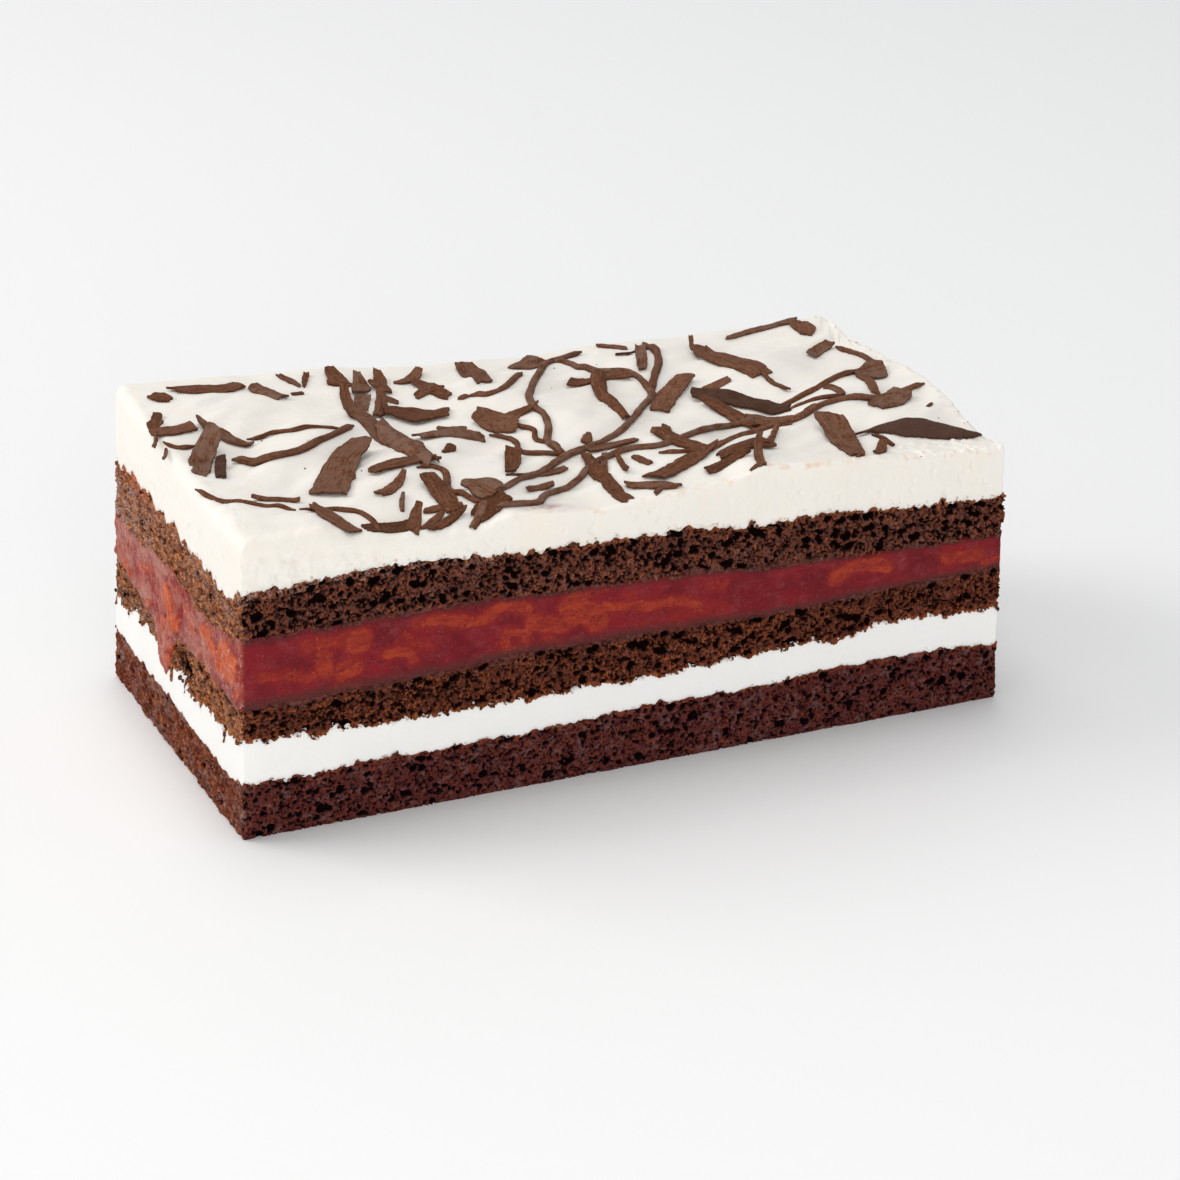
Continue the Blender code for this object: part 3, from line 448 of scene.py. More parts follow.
def close(points, first, cols, upward):
    # Adds a level ring drawn in from the row that starts at first. Returns the faces that end it.
    new = len(points)
    ring = points[first:first + cols] * (1 - CAP_INSET / LENGTH, 1 - CAP_INSET / DEPTH, 1)
    ring[:, 2] = ring[:, 2].mean()
    low, high = (first, new) if upward else (new, first)
    j = np.arange(cols)
    k = (j + 1) % cols
    wall = np.stack([low + j, low + k, high + k, high + j], axis=-1)
    return np.concatenate([points, ring]), [wall, (new + j)[None, ::1 if upward else -1]]


def side_points(z, depth):
    # Points of the columns at the heights z, set in from the outline by the depth.
    return np.stack([RX + lean(RX, RY, z) - NX * depth, RY - NY * depth, z], axis=-1)


def slab_mesh(name, z, depth, mat, values, node):
    # Band of side rows closed by a flat face below and above.
    rows, cols = z.shape
    points = side_points(z, depth).reshape(-1, 3)
    points, below = close(points, 0, cols, False)
    points, above = close(points, (rows - 1) * cols, cols, True)
    full = {key: np.zeros(len(points)) for key in values}
    for key, data in values.items():
        full[key][:z.size] = np.broadcast_to(data, z.shape).ravel()
    obj = make_mesh(name, points, [band(rows, cols), *below, *above], mat, full)
    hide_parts(node)


def pores(z, seed, counts, left_scale):
    # Open crumb in each grid point: depth of overlapping round-ended holes, and the lips around them.
    rng = np.random.default_rng(seed)
    low, high, span = z.min(), z.max(), S[-1]
    ws = S + 0.26 * cloud(S / 1.5, z / 1.5, seed + 1, 2) + 0.16 * cloud(S / 0.5, z / 0.5, seed + 3, 1)
    wz = z + 0.26 * cloud(S / 1.5, z / 1.5, seed + 5, 2) + 0.16 * cloud(S / 0.5, z / 0.5, seed + 7, 1)
    depth, gap = np.zeros(z.shape), np.full(z.shape, 9.0)
    sizes = []
    for (small, large), density in zip(PORE_RADII, counts):
        many = int(span * (high - low) * density)
        sizes.append(small + (large - small) * rng.random(many) ** 1.7)
    for r in np.concatenate(sizes):
        cs, cz = rng.uniform(0, span), rng.uniform(low, high)
        wide, turn = rng.uniform(0.9, 1.7), rng.uniform(-0.5, 0.5)
        deep = min(0.3 + r, 1.5) * rng.uniform(0.6, 1.1)
        i0, i1 = np.searchsorted(S, (cs - 2.2 * r - 0.6, cs + 2.2 * r + 0.6))
        if ON_LEFT[min((i0 + i1) // 2, len(S) - 1)]:
            r, deep, wide = r * left_scale, deep * left_scale, wide * 1.9
        if i1 <= i0:
            continue
        ds, dz = ws[:, i0:i1] - cs, wz[:, i0:i1] - cz
        a, b = ds * math.cos(turn) + dz * math.sin(turn), dz * math.cos(turn) - ds * math.sin(turn)
        d = (a / (r * wide)) ** 2 + (b / r) ** 2
        hole = deep * np.sqrt(np.clip(1 - d ** 1.6, 0, 1))
        depth[:, i0:i1] = np.maximum(depth[:, i0:i1], hole)
        gap[:, i0:i1] = np.minimum(gap[:, i0:i1], (np.sqrt(d) - 1) * r)
    return depth, smooth(0.3, 0, gap) * (depth < 0.05)


def sponge(name, below, above, seed, mat, counts, left_scale):
    # Sponge layer between two edges: open crumb, torn at the left end.
    low, high = EDGES[below], EDGES[above]
    rows = round(float((high - low).mean()) / SPONGE_ROW)
    t = np.linspace(0, 1, rows)[:, None]
    z = low + (high - low) * t
    # Juice has soaked into the crumb next to the cherries.
    soak = 0.0
    blot = 0.7 * cloud(S / 2, z / 1.4, seed + 2, 3)
    wet = 0.5 + 1.8 * np.clip(cloud(S / 9, 0, seed + 8, 2) + 0.3, 0, 1)
    if above == CHERRY_LOW:
        wet = wet + 0.9 * bell((RX + 12) / 26)
        soak = smooth(wet, 0.3 * wet, high - z + blot)
    if below == CHERRY_HIGH:
        soak = smooth(0.7 * wet, 0.2 * wet, z - low + blot)
    soak = soak * (1 - 0.6 * LEFT)
    hole, lip = pores(z, seed, counts, left_scale)
    hole, lip = hole * (1 - 0.75 * soak), lip * (1 - soak)
    crumb = 0.15 * cloud(S / 0.8, z / 0.8, seed, 2) + 0.2 * cloud(S / 4, z / 4, seed + 1, 2)
    torn = 0.5 * cloud(S / 1.9, z / 0.9, seed + 3, 3) + 0.3 * cloud(S / 6, z / 3, seed + 4, 2)
    depth = 0.15 + hole + crumb * (1 - 0.7 * soak) + LEFT * (torn + 0.1) - 0.1 * lip
    if below == BASE:
        depth = depth + 0.2 * smooth(1, 0, z) ** 2
        depth = np.where(z < 0.4, np.minimum(depth, 0.9), depth)
    if below == MIDDLE_BASE:
        # The wet hollow beside the cherry that hangs down at the left end, painted dark as shade through its pore
        # value.
        slide = (FROM_FRONT - HOLLOW_FROM_FRONT + 3 * cloud(S / 2.5, z / 2.5, 95, 3)) / 6
        hollow = LEFT * bell(slide, (z - HOLLOW_HEIGHT + 1.2 * cloud(S / 2, z / 2, 96, 2)) / 3.6)
        depth = depth + 0.9 * hollow
        hole = np.maximum(hole, 0.62 * hollow * (1 + 0.9 * cloud(S / 1.2, z / 3, 97, 2)))
    depth = np.maximum(depth, -0.25)
    if below == CHERRY_HIGH:
        shelf = smooth(3, 0.3, LENGTH / 2 - RX) * smooth(0.2, 0.7, t)
        depth = depth - shelf * (0.55 + 0.6 * cloud(S / 1.6, z / 1.4, seed + 2, 3))
    near_cream = np.abs(z - (low if below == MIDDLE_BASE else high))
    values = {
        "pore": np.clip(hole / 0.8, 0, 1),
        "lip": lip,
        # Mask of the painted glow of the crumb next to the cream.
        "edge_glow": smooth(1.3, 0, near_cream + 0.5 * cloud(S / 0.8, z / 0.8, seed + 6, 2)),
        "left": LEFT,
        "soak": soak,
        "drag": drag_map(z, high, above),
    }
    if below == CHERRY_HIGH:
        # Juice drawn up under the cream at the far left corner.
        values["blush"] = LEFT * smooth(48, 72, FROM_FRONT) * smooth(3.2, 0.6, high - z + blot)
    slab_mesh(name, z, depth, mat, values, name.replace("_crumb", ""))


def drag_map(z, high, above):
    # Where the knife dragged cream and juice over the crumb.
    if above == LOWER_TOP:
        return LEFT * smooth(0.1, 0.6, cloud(S / 7, z / 5, 91, 3)) * 0.5
    if above == CHERRY_LOW:
        return LEFT * (0.25 + 0.4 * smooth(40, 60, FROM_FRONT))
    under_cream = smooth(6.5, 0.5, high - z + 1.5 * cloud(S / 2, z / 2, 90, 2))
    far_end = smooth(45, 80, FROM_FRONT)
    front = ON_FRONT * smooth(75, 25, FROM_LEFT)
    front = front * smooth(2.8, 0.2, high - z + 0.8 * cloud(S / 2, z / 1.5, 92, 2))
    return np.clip(LEFT * (0.2 + 0.8 * np.maximum(0.6 * under_cream, far_end)) + front, 0, 1)


def ribbon_reach(u, v, points):
    # Distance from a bent line.
    reach = np.full(np.shape(v), 99.0)
    for (ax, az), (bx, bz) in zip(points, points[1:] or points):
        dx, dz = bx - ax, bz - az
        share = np.clip(((u - ax) * dx + (v - az) * dz) / (dx ** 2 + dz ** 2 + 1e-9), 0, 1)
        reach = np.minimum(reach, np.hypot(u - ax - share * dx, v - az - share * dz))
    return reach


def fruit_map(z):
    # How much cherry flesh shows: as in the photo at the front and the left end, drawn elsewhere.
    slip = 0.55 * cloud(S / 3, z / 2.4, 3, 3) + 0.25 * cloud(S / 0.9, z / 0.8, 6, 2)
    rise = 0.45 * cloud(S / 3.6, z / 2.6, 5, 3) + 0.25 * cloud(S, z / 0.9, 7, 2)
    rng = np.random.default_rng(12)
    jobs = [(ON_FRONT, FROM_LEFT, f) for f in FRONT_FRUIT] + [(ON_LEFT, FROM_FRONT, f) for f in LEFT_FRUIT]
    hidden = ~ON_FRONT & ~ON_LEFT
    place = 4.0
    while place < S[hidden].max():
        x, y = place, rng.uniform(32.5, 37)
        line = [(x, y)]
        for _ in range(rng.integers(1, 5)):
            x, y = x + rng.uniform(2, 4), np.clip(y + rng.uniform(-1.8, 1.8), 31.5, 38)
            line.append((x, y))
        jobs.append((hidden, S, (rng.uniform(0.5, 1), rng.uniform(0.8, 2.2), *line)))
        place += rng.uniform(7, 20)
    fruit = np.zeros(z.shape)
    for side, run, (strength, thick, *points) in jobs:
        near = side & (np.abs(run - np.mean([p[0] for p in points])) < 30)
        d = ribbon_reach(run[near] + slip[:, near], z[:, near] + rise[:, near], points) / thick
        skirt = 0.3 * smooth(1.0 + 1.6 / thick, 1, d)
        fruit[:, near] = np.maximum(fruit[:, near], strength * (skirt + 0.7 * smooth(1.3, 0.7, d)))
    return fruit


def cherry_layer(mat):
    # Smooth cut gel with its fruit, lumpy where the left end was torn.
    low, high = EDGES[CHERRY_LOW], EDGES[CHERRY_HIGH]
    t = np.concatenate(([-0.05], np.linspace(0, 1, 44), [1.05]))[:, None]
    z = low + (high - low) * t
    fruit = fruit_map(z)
    lump = cloud(S / 5, z / 4, 21, 3)
    fine = cloud(S / 1.1, z / 0.9, 24, 2)
    curve = 1.2 * cloud(S / 3, z / 2.5, 34, 2)
    groove = bell((FROM_FRONT - 27.0 - 0.5 * (z - 33) + curve) / 1.1)
    groove = groove + bell(FROM_FRONT - 39.5 + 0.3 * (z - 33) + curve)
    torn = 0.05 + 0.55 * smooth(0.2, 0.8, fruit) + 0.5 * lump + 0.22 * fine - 0.6 * groove
    depth = 0.24 - 0.12 * fruit - 0.05 * fine - 0.08 * lump - LEFT * torn
    depth = depth + 0.2 * smooth(0, -0.05, t) + 0.2 * smooth(1, 1.05, t)
    zone = smooth(17, 24, FROM_FRONT) * smooth(33, 29, FROM_FRONT) + smooth(46, 54, FROM_FRONT)
    haze = cloud(S / 4.5, z / 2.4, 31, 4) + 0.5 * (zone - 0.4)
    haze = LEFT * smooth(-0.15, 0.5, haze) * (1 - 0.93 * smooth(0.3, 0.75, fruit))
    values = {"fruit": fruit, "rise": np.clip(t, 0, 1), "haze": haze, "left": LEFT}
    slab_mesh("cherry_gel", z, depth, mat, values, "cherry_filling")


def cherry_tongue(mat):
    # Piece of cherry that the knife pulled down over the cream at the left end.
    u, v = np.meshgrid(np.linspace(-1, 1, 41), np.linspace(-1, 1, 61), indexing="ij")
    swell = np.maximum(np.abs(u), np.abs(v)) / np.maximum((u ** 4 + v ** 4) ** 0.25, 1e-6)
    u, v = u * swell, v * swell
    r = np.clip((u ** 4 + v ** 4) ** 0.25, 0, 1)
    wide = 4.8 * (1 + 0.3 * v) * (1 + 0.25 * cloud(v * 2, 0, 83, 3))
    y = TONGUE_FROM_FRONT - 0.4 * v + wide * u + 0.8 * cloud(u * 2.2, v * 3.4, 84, 2) - DEPTH / 2
    z = TONGUE_HEIGHT + 6.2 * v + 0.7 * cloud(u * 2.2, v * 2.4, 85, 2)
    out = 1.2 * np.sqrt(np.clip(1 - r ** 2.4, 0, 1)) * (0.8 + 0.4 * cloud(u * 2, v * 3, 86, 3)) - 0.5
    out = out + 0.1 * cloud(u * 5, v * 9, 87, 2)
    x = -LENGTH / 2 + lean(-LENGTH / 2, y, z)
    points, faces = shell(np.stack([x + 0.9, y, z], axis=-1), np.stack([x - out, y, z], axis=-1))
    fruit = 0.5 + 0.6 * cloud(u * 2, v * 3, 88, 3)
    haze = smooth(-0.3, 0.3, cloud(u * 2.5, v * 3.5, 89, 3))
    piece = Parts()
    piece.add(
        points, faces, fruit=np.tile(fruit.ravel(), 2), rise=0.6, haze=np.tile(haze.ravel(), 2), left=1,
    )
    piece.make("cherry_tongue", mat)


def lower_cream_layer(mat):
    low, high = EDGES[LOWER_TOP], EDGES[MIDDLE_BASE]
    t = np.concatenate(([-0.09], np.linspace(0, 1, 24), [1.09]))[:, None]
    z = low + (high - low) * t
    depth = 0.3 + 0.1 * cloud(S / 3.5, z / 3, 40, 3) + 0.04 * cloud(S / 0.7, z / 2.5, 42, 2)
    depth = depth + 0.5 * smooth(0, -0.09, t) + 0.5 * smooth(1, 1.09, t)
    grime = smooth(0.8, 0, np.minimum(z - low, high - z) + 0.5 * cloud(S / 1.2, z / 1.2, 44, 2))
    slab_mesh("cream_filling", z, depth, mat, {"grime": grime}, "lower_cream")


def zipper(a, b, a_share, b_share):
    # Triangles between two closed loops that start at the same corner and run the same way.
    faces = []
    i = j = 0
    n, m = len(a), len(b)
    while i < n or j < m:
        next_a = a_share[i + 1] if i < n else 9.0
        next_b = b_share[j + 1] if j < m else 9.0
        if next_a <= next_b:
            faces.append((a[i % n], a[(i + 1) % n], b[j % m]))
            i += 1
        else:
            faces.append((a[i % n], b[(j + 1) % m], b[j % m]))
            j += 1
    return np.array(faces)


def corner_shares(count, corners):
    # Share of the way round, a quarter for each side, of points that run from corner to corner.
    share = np.zeros(count + 1)
    for k, (i0, i1) in enumerate(zip(corners, [*corners[1:], count])):
        share[i0:i1 + 1] = 0.25 * k + 0.25 * np.linspace(0, 1, i1 - i0 + 1)
    return share


def top_cream_layer(mat):
    low, cols = EDGES[UPPER_TOP], len(S)
    level = cream_height(RX, RY)
    soft = np.where(ON_FRONT, smooth(60, 40, FROM_LEFT), LEFT)
    bend = 0.7 + 1.6 * soft + 0.25 * cloud(S / 14, 0, 61, 2)
    crest = level + (0.16 + 0.4 * soft * ON_FRONT) * cloud(S / 4, 2, 62, 3) + 0.1
    t = np.concatenate(([-0.06], np.linspace(0, 1, 23)))[:, None]
    z = low + (crest - bend - low) * t
    bumps = 0.05 * cloud(S / 0.8, z / 3, 66, 2) + 0.9 * np.maximum(0, cloud(S / 1.6, z / 1.3, 68, 2) - 0.4)
    corner = ON_FRONT * smooth(40, 25, FROM_LEFT)
    bumps = bumps + corner * (0.45 * cloud(S / 2.2, z / 1.8, 64, 2) + 0.15 * cloud(S / 0.8, z / 0.8, 65, 2))
    depth = 0.25 + 0.2 * cloud(S / 6, z / 5, 63, 3) + bumps * smooth(0, 0.2, t) * smooth(1, 0.75, t)
    depth = depth + 0.5 * smooth(0, -0.06, t)

    def ring(inset, height):
        px = (RX - NX * depth[-1]) * (1 - inset * 2 / LENGTH)
        py = (RY - NY * depth[-1]) * (1 - inset * 2 / DEPTH)
        pz = height(px, py)
        return np.stack([px + lean(px, py, pz), py, pz], axis=-1)

    # Rows round the bend at the crest and a little way onto the upper face.
    rings = []
    for angle in (22, 45, 67, 90):
        share = math.sin(math.radians(angle))
        rings.append(ring(
            bend * (1 - math.cos(math.radians(angle))),
            lambda px, py: crest - bend * (1 - share) + (surface(px, py) - level) * share,
        ))
    for step in (0.6, 1.3):
        rings.append(ring(
            bend + step, lambda px, py: surface(px, py) + (1 - step / 2) * (crest - level),
        ))
    rows = len(z) + len(rings)
    points = np.concatenate([side_points(z, depth), rings]).reshape(-1, 3)

    # The rest of the upper face is a grid.
    hx, hy = LENGTH / 2 - GRID_INSET, DEPTH / 2 - GRID_INSET
    nx, ny = round(2 * hx / GRID_STEP), round(2 * hy / GRID_STEP)
    gx, gy = np.meshgrid(np.linspace(-hx, hx, nx + 1), np.linspace(-hy, hy, ny + 1), indexing="ij")
    gz = surface(gx, gy)
    index = len(points) + np.arange(gx.size).reshape(gx.shape)
    points = np.concatenate([points, np.stack([gx + lean(gx, gy, gz), gy, gz], axis=-1).reshape(-1, 3)])
    loop = np.concatenate([index[:0:-1, ny], index[0, :0:-1], index[:-1, 0], index[nx, :-1]])
    sides = ((0, 1), (-1, 0), (0, -1), (1, 0))
    corners = [int(np.argmax((NX == side[0]) & (NY == side[1]))) for side in sides]
    joined = zipper(
        (rows - 1) * cols + np.arange(cols), loop,
        corner_shares(cols, corners), corner_shares(len(loop), [0, nx, nx + ny, 2 * nx + ny]),
    )
    count = len(points)
    points, base = close(points, 0, cols, False)
    x, y = points[:, 0], points[:, 1]
    top, grime = np.zeros(len(points)), np.zeros(len(points))
    top[z.size:count] = 1.0
    grime[:z.size] = smooth(1.6, 0, z - low + 0.8 * cloud(S / 1.5, z / 1.5, 70, 2)).ravel()
    crest_band = bell((points[:, 2] - cream_height(x, y) + 0.4) / 0.7) * smooth(2.6, 1.2, y + DEPTH / 2)
    values = {
        "grime": grime,
        "smear": bell((x + 20.5) / 4.2, (y + 40.2) / 1.7) * top,
        "crest": crest_band * smooth(-45, 0, x),
    }
    obj = make_mesh("cream_top", points, [band(rows, cols), sheet(index), joined, *base], mat, values)
    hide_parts("top_cream")


class Parts:
    # Collects many small closed meshes into one piece.
    def __init__(self):
        self.points, self.faces, self.values, self.count = [], {}, {}, 0

    def add(self, points, faces, **values):
        self.points.append(points)
        self.faces.setdefault(faces.shape[1], []).append(faces + self.count)
        for key, data in values.items():
            data = np.broadcast_to(data, (len(points), *np.shape(data)[1:]))
            self.values.setdefault(key, []).append(data)
        self.count += len(points)

    def make(self, name, mat, flat=False):
        values = {key: np.concatenate(data) for key, data in self.values.items()}
        faces = [np.concatenate(group) for group in self.faces.values()]
        make_mesh(name, np.concatenate(self.points), faces, mat, values, flat)


def add_shaving(parts, index, spec, along_count, across_count):
    # Chipped chocolate flake over the outline of its solid, with uneven ends and edges.
    x, y, turn, length, start, middle, end, lift, rise = spec
    lens = length >= LENS_LENGTH
    draw = random.Random(100 + index)
    rng = np.random.default_rng(500 + index)
    ax, ay = math.cos(math.radians(turn)), math.sin(math.radians(turn))
    stations = 4 if length > 14 else 3
    places = np.linspace(0, 1, stations)
    bow = draw.uniform(-0.06, 0.06) * length
    tilt = draw.uniform(-0.12, 0.12)
    near, far, slants = [], [], []
    for k, t in enumerate(places):
        width = np.interp(t, (0, 0.5, 1), (start, middle, end))
        near.append(0.5 * width * draw.uniform(0.82, 1.12))
        far.append(0.5 * width * draw.uniform(0.82, 1.12))
        slants.append(draw.uniform(-0.06, 0.06) * length if k in (0, stations - 1) else 0)
    t = np.linspace(0, 1, along_count)[:, None]
    b = np.linspace(-1, 1, across_count)[None, :]
    arch = rng.uniform(-0.25, 0.45) if length < 24 else 1.3
    curl = rng.uniform(0, 0.7) if length > 8 else 0.0
    half = np.where(b < 0, np.interp(t, places, near), np.interp(t, places, far))
    pointed = (0.85, 0.97) if lens else rng.uniform(0, 0.25, 2)
    start_reach, end_reach, power = (0.24, 0.42, 1.7) if lens else (0.2, 0.2, 1)
    tips = 1 - pointed[0] * np.clip(1 - t / start_reach, 0, 1) ** power
    tips = tips * (1 - pointed[1] * np.clip((t - 1) / end_reach + 1, 0, 1) ** power)
    jag = 0.12 * half * cloud(t * length / 2.5, np.sign(b) * 5, index + 1, 2)
    jag = jag + 0.16 * cloud(t * length / 0.6, np.sign(b) * 5, index + 5, 2)
    across = b * (half * tips + jag * np.abs(b))
    chips = []
    for seed in (2, 3):
        torn = 0.3 * cloud(b * half.mean() / 0.8, 3 * seed, index + seed, 2)
        chips.append(torn + 0.04 * length * cloud(b * 1.2, 3 * seed, index + seed, 1))
    slide = (t - 0.5) * length - np.interp(t, places, slants) * b + chips[0] * (1 - t) ** 3 + chips[1] * t ** 3
    side = across + bow * (1 - (2 * t - 1) ** 2)
    px = x + ax * slide - ay * side
    py = y + ay * slide + ax * side
    lifted = lift + rise * t * t + tilt * across + arch * (1 - b * b) * tips + curl * (2 * t - 1) ** 2
    lifted = lifted - (0.4 if lens else min(lifted.min(), 0.3))
    grain = 0.06 * cloud(across / 0.4, slide / 9, index, 2)
    grain = grain + 0.1 * cloud(across / 0.9, slide / 1.2, index + 4, 2)
    high = surface(px, py) + lifted + 0.36 + grain
    low = high - FLAKE_THICKNESS + 0.1 * cloud(across / 0.8, slide / 0.9, index + 6, 2)
    points, faces = shell(np.stack([px, py, high], axis=-1), np.stack([px, py, low], axis=-1))
    piece = np.stack([slide, across, np.full(px.shape, index * 7.0)], axis=-1).reshape(-1, 3)
    bloom = LENS_BLOOM if lens else rng.random()
    if index in DARK_SHAVINGS:
        bloom = DARK_BLOOM
    # rim paints shade on the flake's underside and down its edge walls.
    parts.add(points, faces, grain=np.tile(piece, (2, 1)), rim=np.repeat((0, 1), px.size), bloom=bloom)


def thread_path(points, step):
    # Even steps along a smooth curve through the points, and how far along it each one is.
    p = np.array(points, float)
    p = np.concatenate([p[:1], p, p[-1:]])
    t = np.linspace(0, 1, 24, endpoint=False)[:, None]
    dense = []
    for a, b, c, d in zip(p, p[1:], p[2:], p[3:]):
        bend, twist = 2 * a - 5 * b + 4 * c - d, 3 * b - a - 3 * c + d
        dense.append(0.5 * (2 * b + (c - a) * t + bend * t ** 2 + twist * t ** 3))
    dense = np.concatenate(dense + [p[-1:]])
    walked = np.concatenate(([0], np.cumsum(np.hypot(*np.diff(dense, axis=0).T))))
    goal = np.linspace(0, walked[-1], max(4, round(walked[-1] / step)) + 1)
    return np.stack([np.interp(goal, walked, dense[:, k]) for k in range(2)], axis=-1), goal


def add_thread(parts, index, radius, points):
    # Piped chocolate thread that lies on the cream, thinner at both ends.
    path, goal = thread_path(points, THREAD_STEP)
    n, sides = len(path), THREAD_SIDES
    rng = np.random.default_rng(900 + index)
    step = np.gradient(path, axis=0)
    step /= np.hypot(*step.T)[:, None]
    normal = np.stack([-step[:, 1], step[:, 0]], axis=-1)
    path = path + normal * 0.14 * cloud(goal / 6, index, index, 2)[:, None]
    thick = radius * (0.88 + 0.25 * cloud(goal / 5, 0, index + 1, 3))
    thick = thick * (0.35 + 0.65 * smooth(0, 2.2, goal) * smooth(0, 2.2, goal[-1] - goal))
    centre = surface(*path.T) + 0.35 * radius + 0.15 * cloud(goal / 8, 0, index + 3, 1)
    a = 2 * math.pi * (np.arange(sides) / sides)
    rough = thick[:, None] * (1 + 0.12 * cloud(goal[:, None] / 1.2, a * 1.2, index + 5, 2))
    across = rough * np.cos(a)
    x, y = path[:, 0:1] + normal[:, 0:1] * across, path[:, 1:2] + normal[:, 1:2] * across
    pts = np.stack([x, y, centre[:, None] + 0.9 * rough * np.sin(a)], axis=-1).reshape(-1, 3)
    grain = [np.repeat(goal, sides), np.tile(a * radius, n), np.full(n * sides, 3.0 * index)]
    # rim paints shade under the thread and over its ends.
    rim = np.tile(np.clip(0.2 - 0.8 * np.sin(a), 0, 1), n)
    parts.add(pts, band(n, sides), grain=np.stack(grain, axis=-1), rim=rim, bloom=0.3 + 0.6 * rng.random())
    for tip, way in ((pts[:sides], -1), (pts[-sides:], 1)):
        parts.add(tip, np.arange(sides)[None, ::way], grain=np.zeros((sides, 3)), rim=1, bloom=0.5)


def split_octahedron():
    # Octahedron with its edges split once, all points at a distance of 1.
    points = list(np.array([(1, 0, 0), (0, 1, 0), (-1, 0, 0), (0, -1, 0), (0, 0, 1), (0, 0, -1)], float))
    faces = [(i, (i + 1) % 4, 4) for i in range(4)] + [((i + 1) % 4, i, 5) for i in range(4)]
    mids, fine = {}, []
    for f in faces:
        m = []
        for u, v in ((f[0], f[1]), (f[1], f[2]), (f[2], f[0])):
            key = (min(u, v), max(u, v))
            if key not in mids:
                mids[key] = len(points)
                p = points[u] + points[v]
                points.append(p / np.linalg.norm(p))
            m.append(mids[key])
        fine += [(f[0], m[0], m[2]), (m[0], f[1], m[1]), (m[2], m[1], f[2]), (m[0], m[1], m[2])]
    return np.array(points), np.array(fine)


CRUMB_POINTS, CRUMB_FACES = split_octahedron()


def add_crumb(parts, centre, size, rng, tone):
    # Small faceted crumb of an uneven shape.
    p = CRUMB_POINTS * rng.uniform(0.65, 1.25, (len(CRUMB_POINTS), 1)) * size * rng.uniform(0.7, 1.2, 3)
    parts.add(p + centre, CRUMB_FACES, tone=tone)


# Materials
class Graph:
    # Shader nodes of one material, which coats its colour step by step. A socket is fed a number, a
    # colour, another socket or the name of a mesh attribute.
    def __init__(self, name, colour):
        self.mat = bpy.data.materials.new(name)
        self.mat.use_nodes = True
        self.tree = self.mat.node_tree
        self.shader = self.tree.nodes["Principled BSDF"]
        self.place = self.node("ShaderNodeTexCoord").outputs["Object"]
        self.colour = colour

    def node(self, kind, inputs=None, **settings):
        node = self.tree.nodes.new(kind)
        for key, value in settings.items():
            setattr(node, key, value)
        for key, value in (inputs or {}).items():
            self.feed(node.inputs[key], value)
        return node

    def feed(self, socket, value):
        if isinstance(value, str):
            value = self.node("ShaderNodeAttribute", attribute_name=value).outputs["Fac"]
        if isinstance(value, bpy.types.NodeSocket):
            self.tree.links.new(value, socket)
        else:
            socket.default_value = (*value, 1) if socket.type == "RGBA" else value

    def stretch(self, x, y, z, vector=None):
        vector = self.place if vector is None else vector
        return self.node("ShaderNodeMapping", {"Vector": vector, "Scale": (x, y, z)}).outputs["Vector"]

    def noise(self, scale, detail=3, rough=0.55, vector=None):
        vector = self.place if vector is None else vector
        inputs = {"Vector": vector, "Scale": scale, "Detail": detail, "Roughness": rough}
        return self.node("ShaderNodeTexNoise", inputs).outputs["Fac"]

    def cells(self, scale):
        return self.node("ShaderNodeTexVoronoi", {"Vector": self.place, "Scale": scale}).outputs["Distance"]

    def range(self, value, low, high, out_low=0, out_high=1):
        inputs = {"Value": value, "From Min": low, "From Max": high, "To Min": out_low, "To Max": out_high}
        return self.node("ShaderNodeMapRange", inputs, interpolation_type="SMOOTHSTEP").outputs["Result"]

    def math(self, operation, a, b):
        return self.node("ShaderNodeMath", {0: a, 1: b}, operation=operation).outputs[0]

    def times(self, first, *others):
        for other in others:
            first = self.math("MULTIPLY", first, other)
        return first

    def mix(self, share, a, b):
        return self.node("ShaderNodeMix", {0: share, 6: a, 7: b}, data_type="RGBA").outputs[2]

    def coat(self, share, colour):
        self.colour = self.mix(share, self.colour, colour)

    def finish(self, bump=None, **sockets):
        # The bump is a height socket, a strength and a distance in metres.
        if bump:
            inputs = dict(zip(("Height", "Strength", "Distance"), bump))
            sockets["Normal"] = self.node("ShaderNodeBump", inputs).outputs["Normal"]
        for key, value in {"Base_Color": self.colour, **sockets}.items():
            self.feed(self.shader.inputs[key.replace("_", " ")], value)
        return self.mat


def shade(colour, share):
    return tuple(c * share for c in colour)
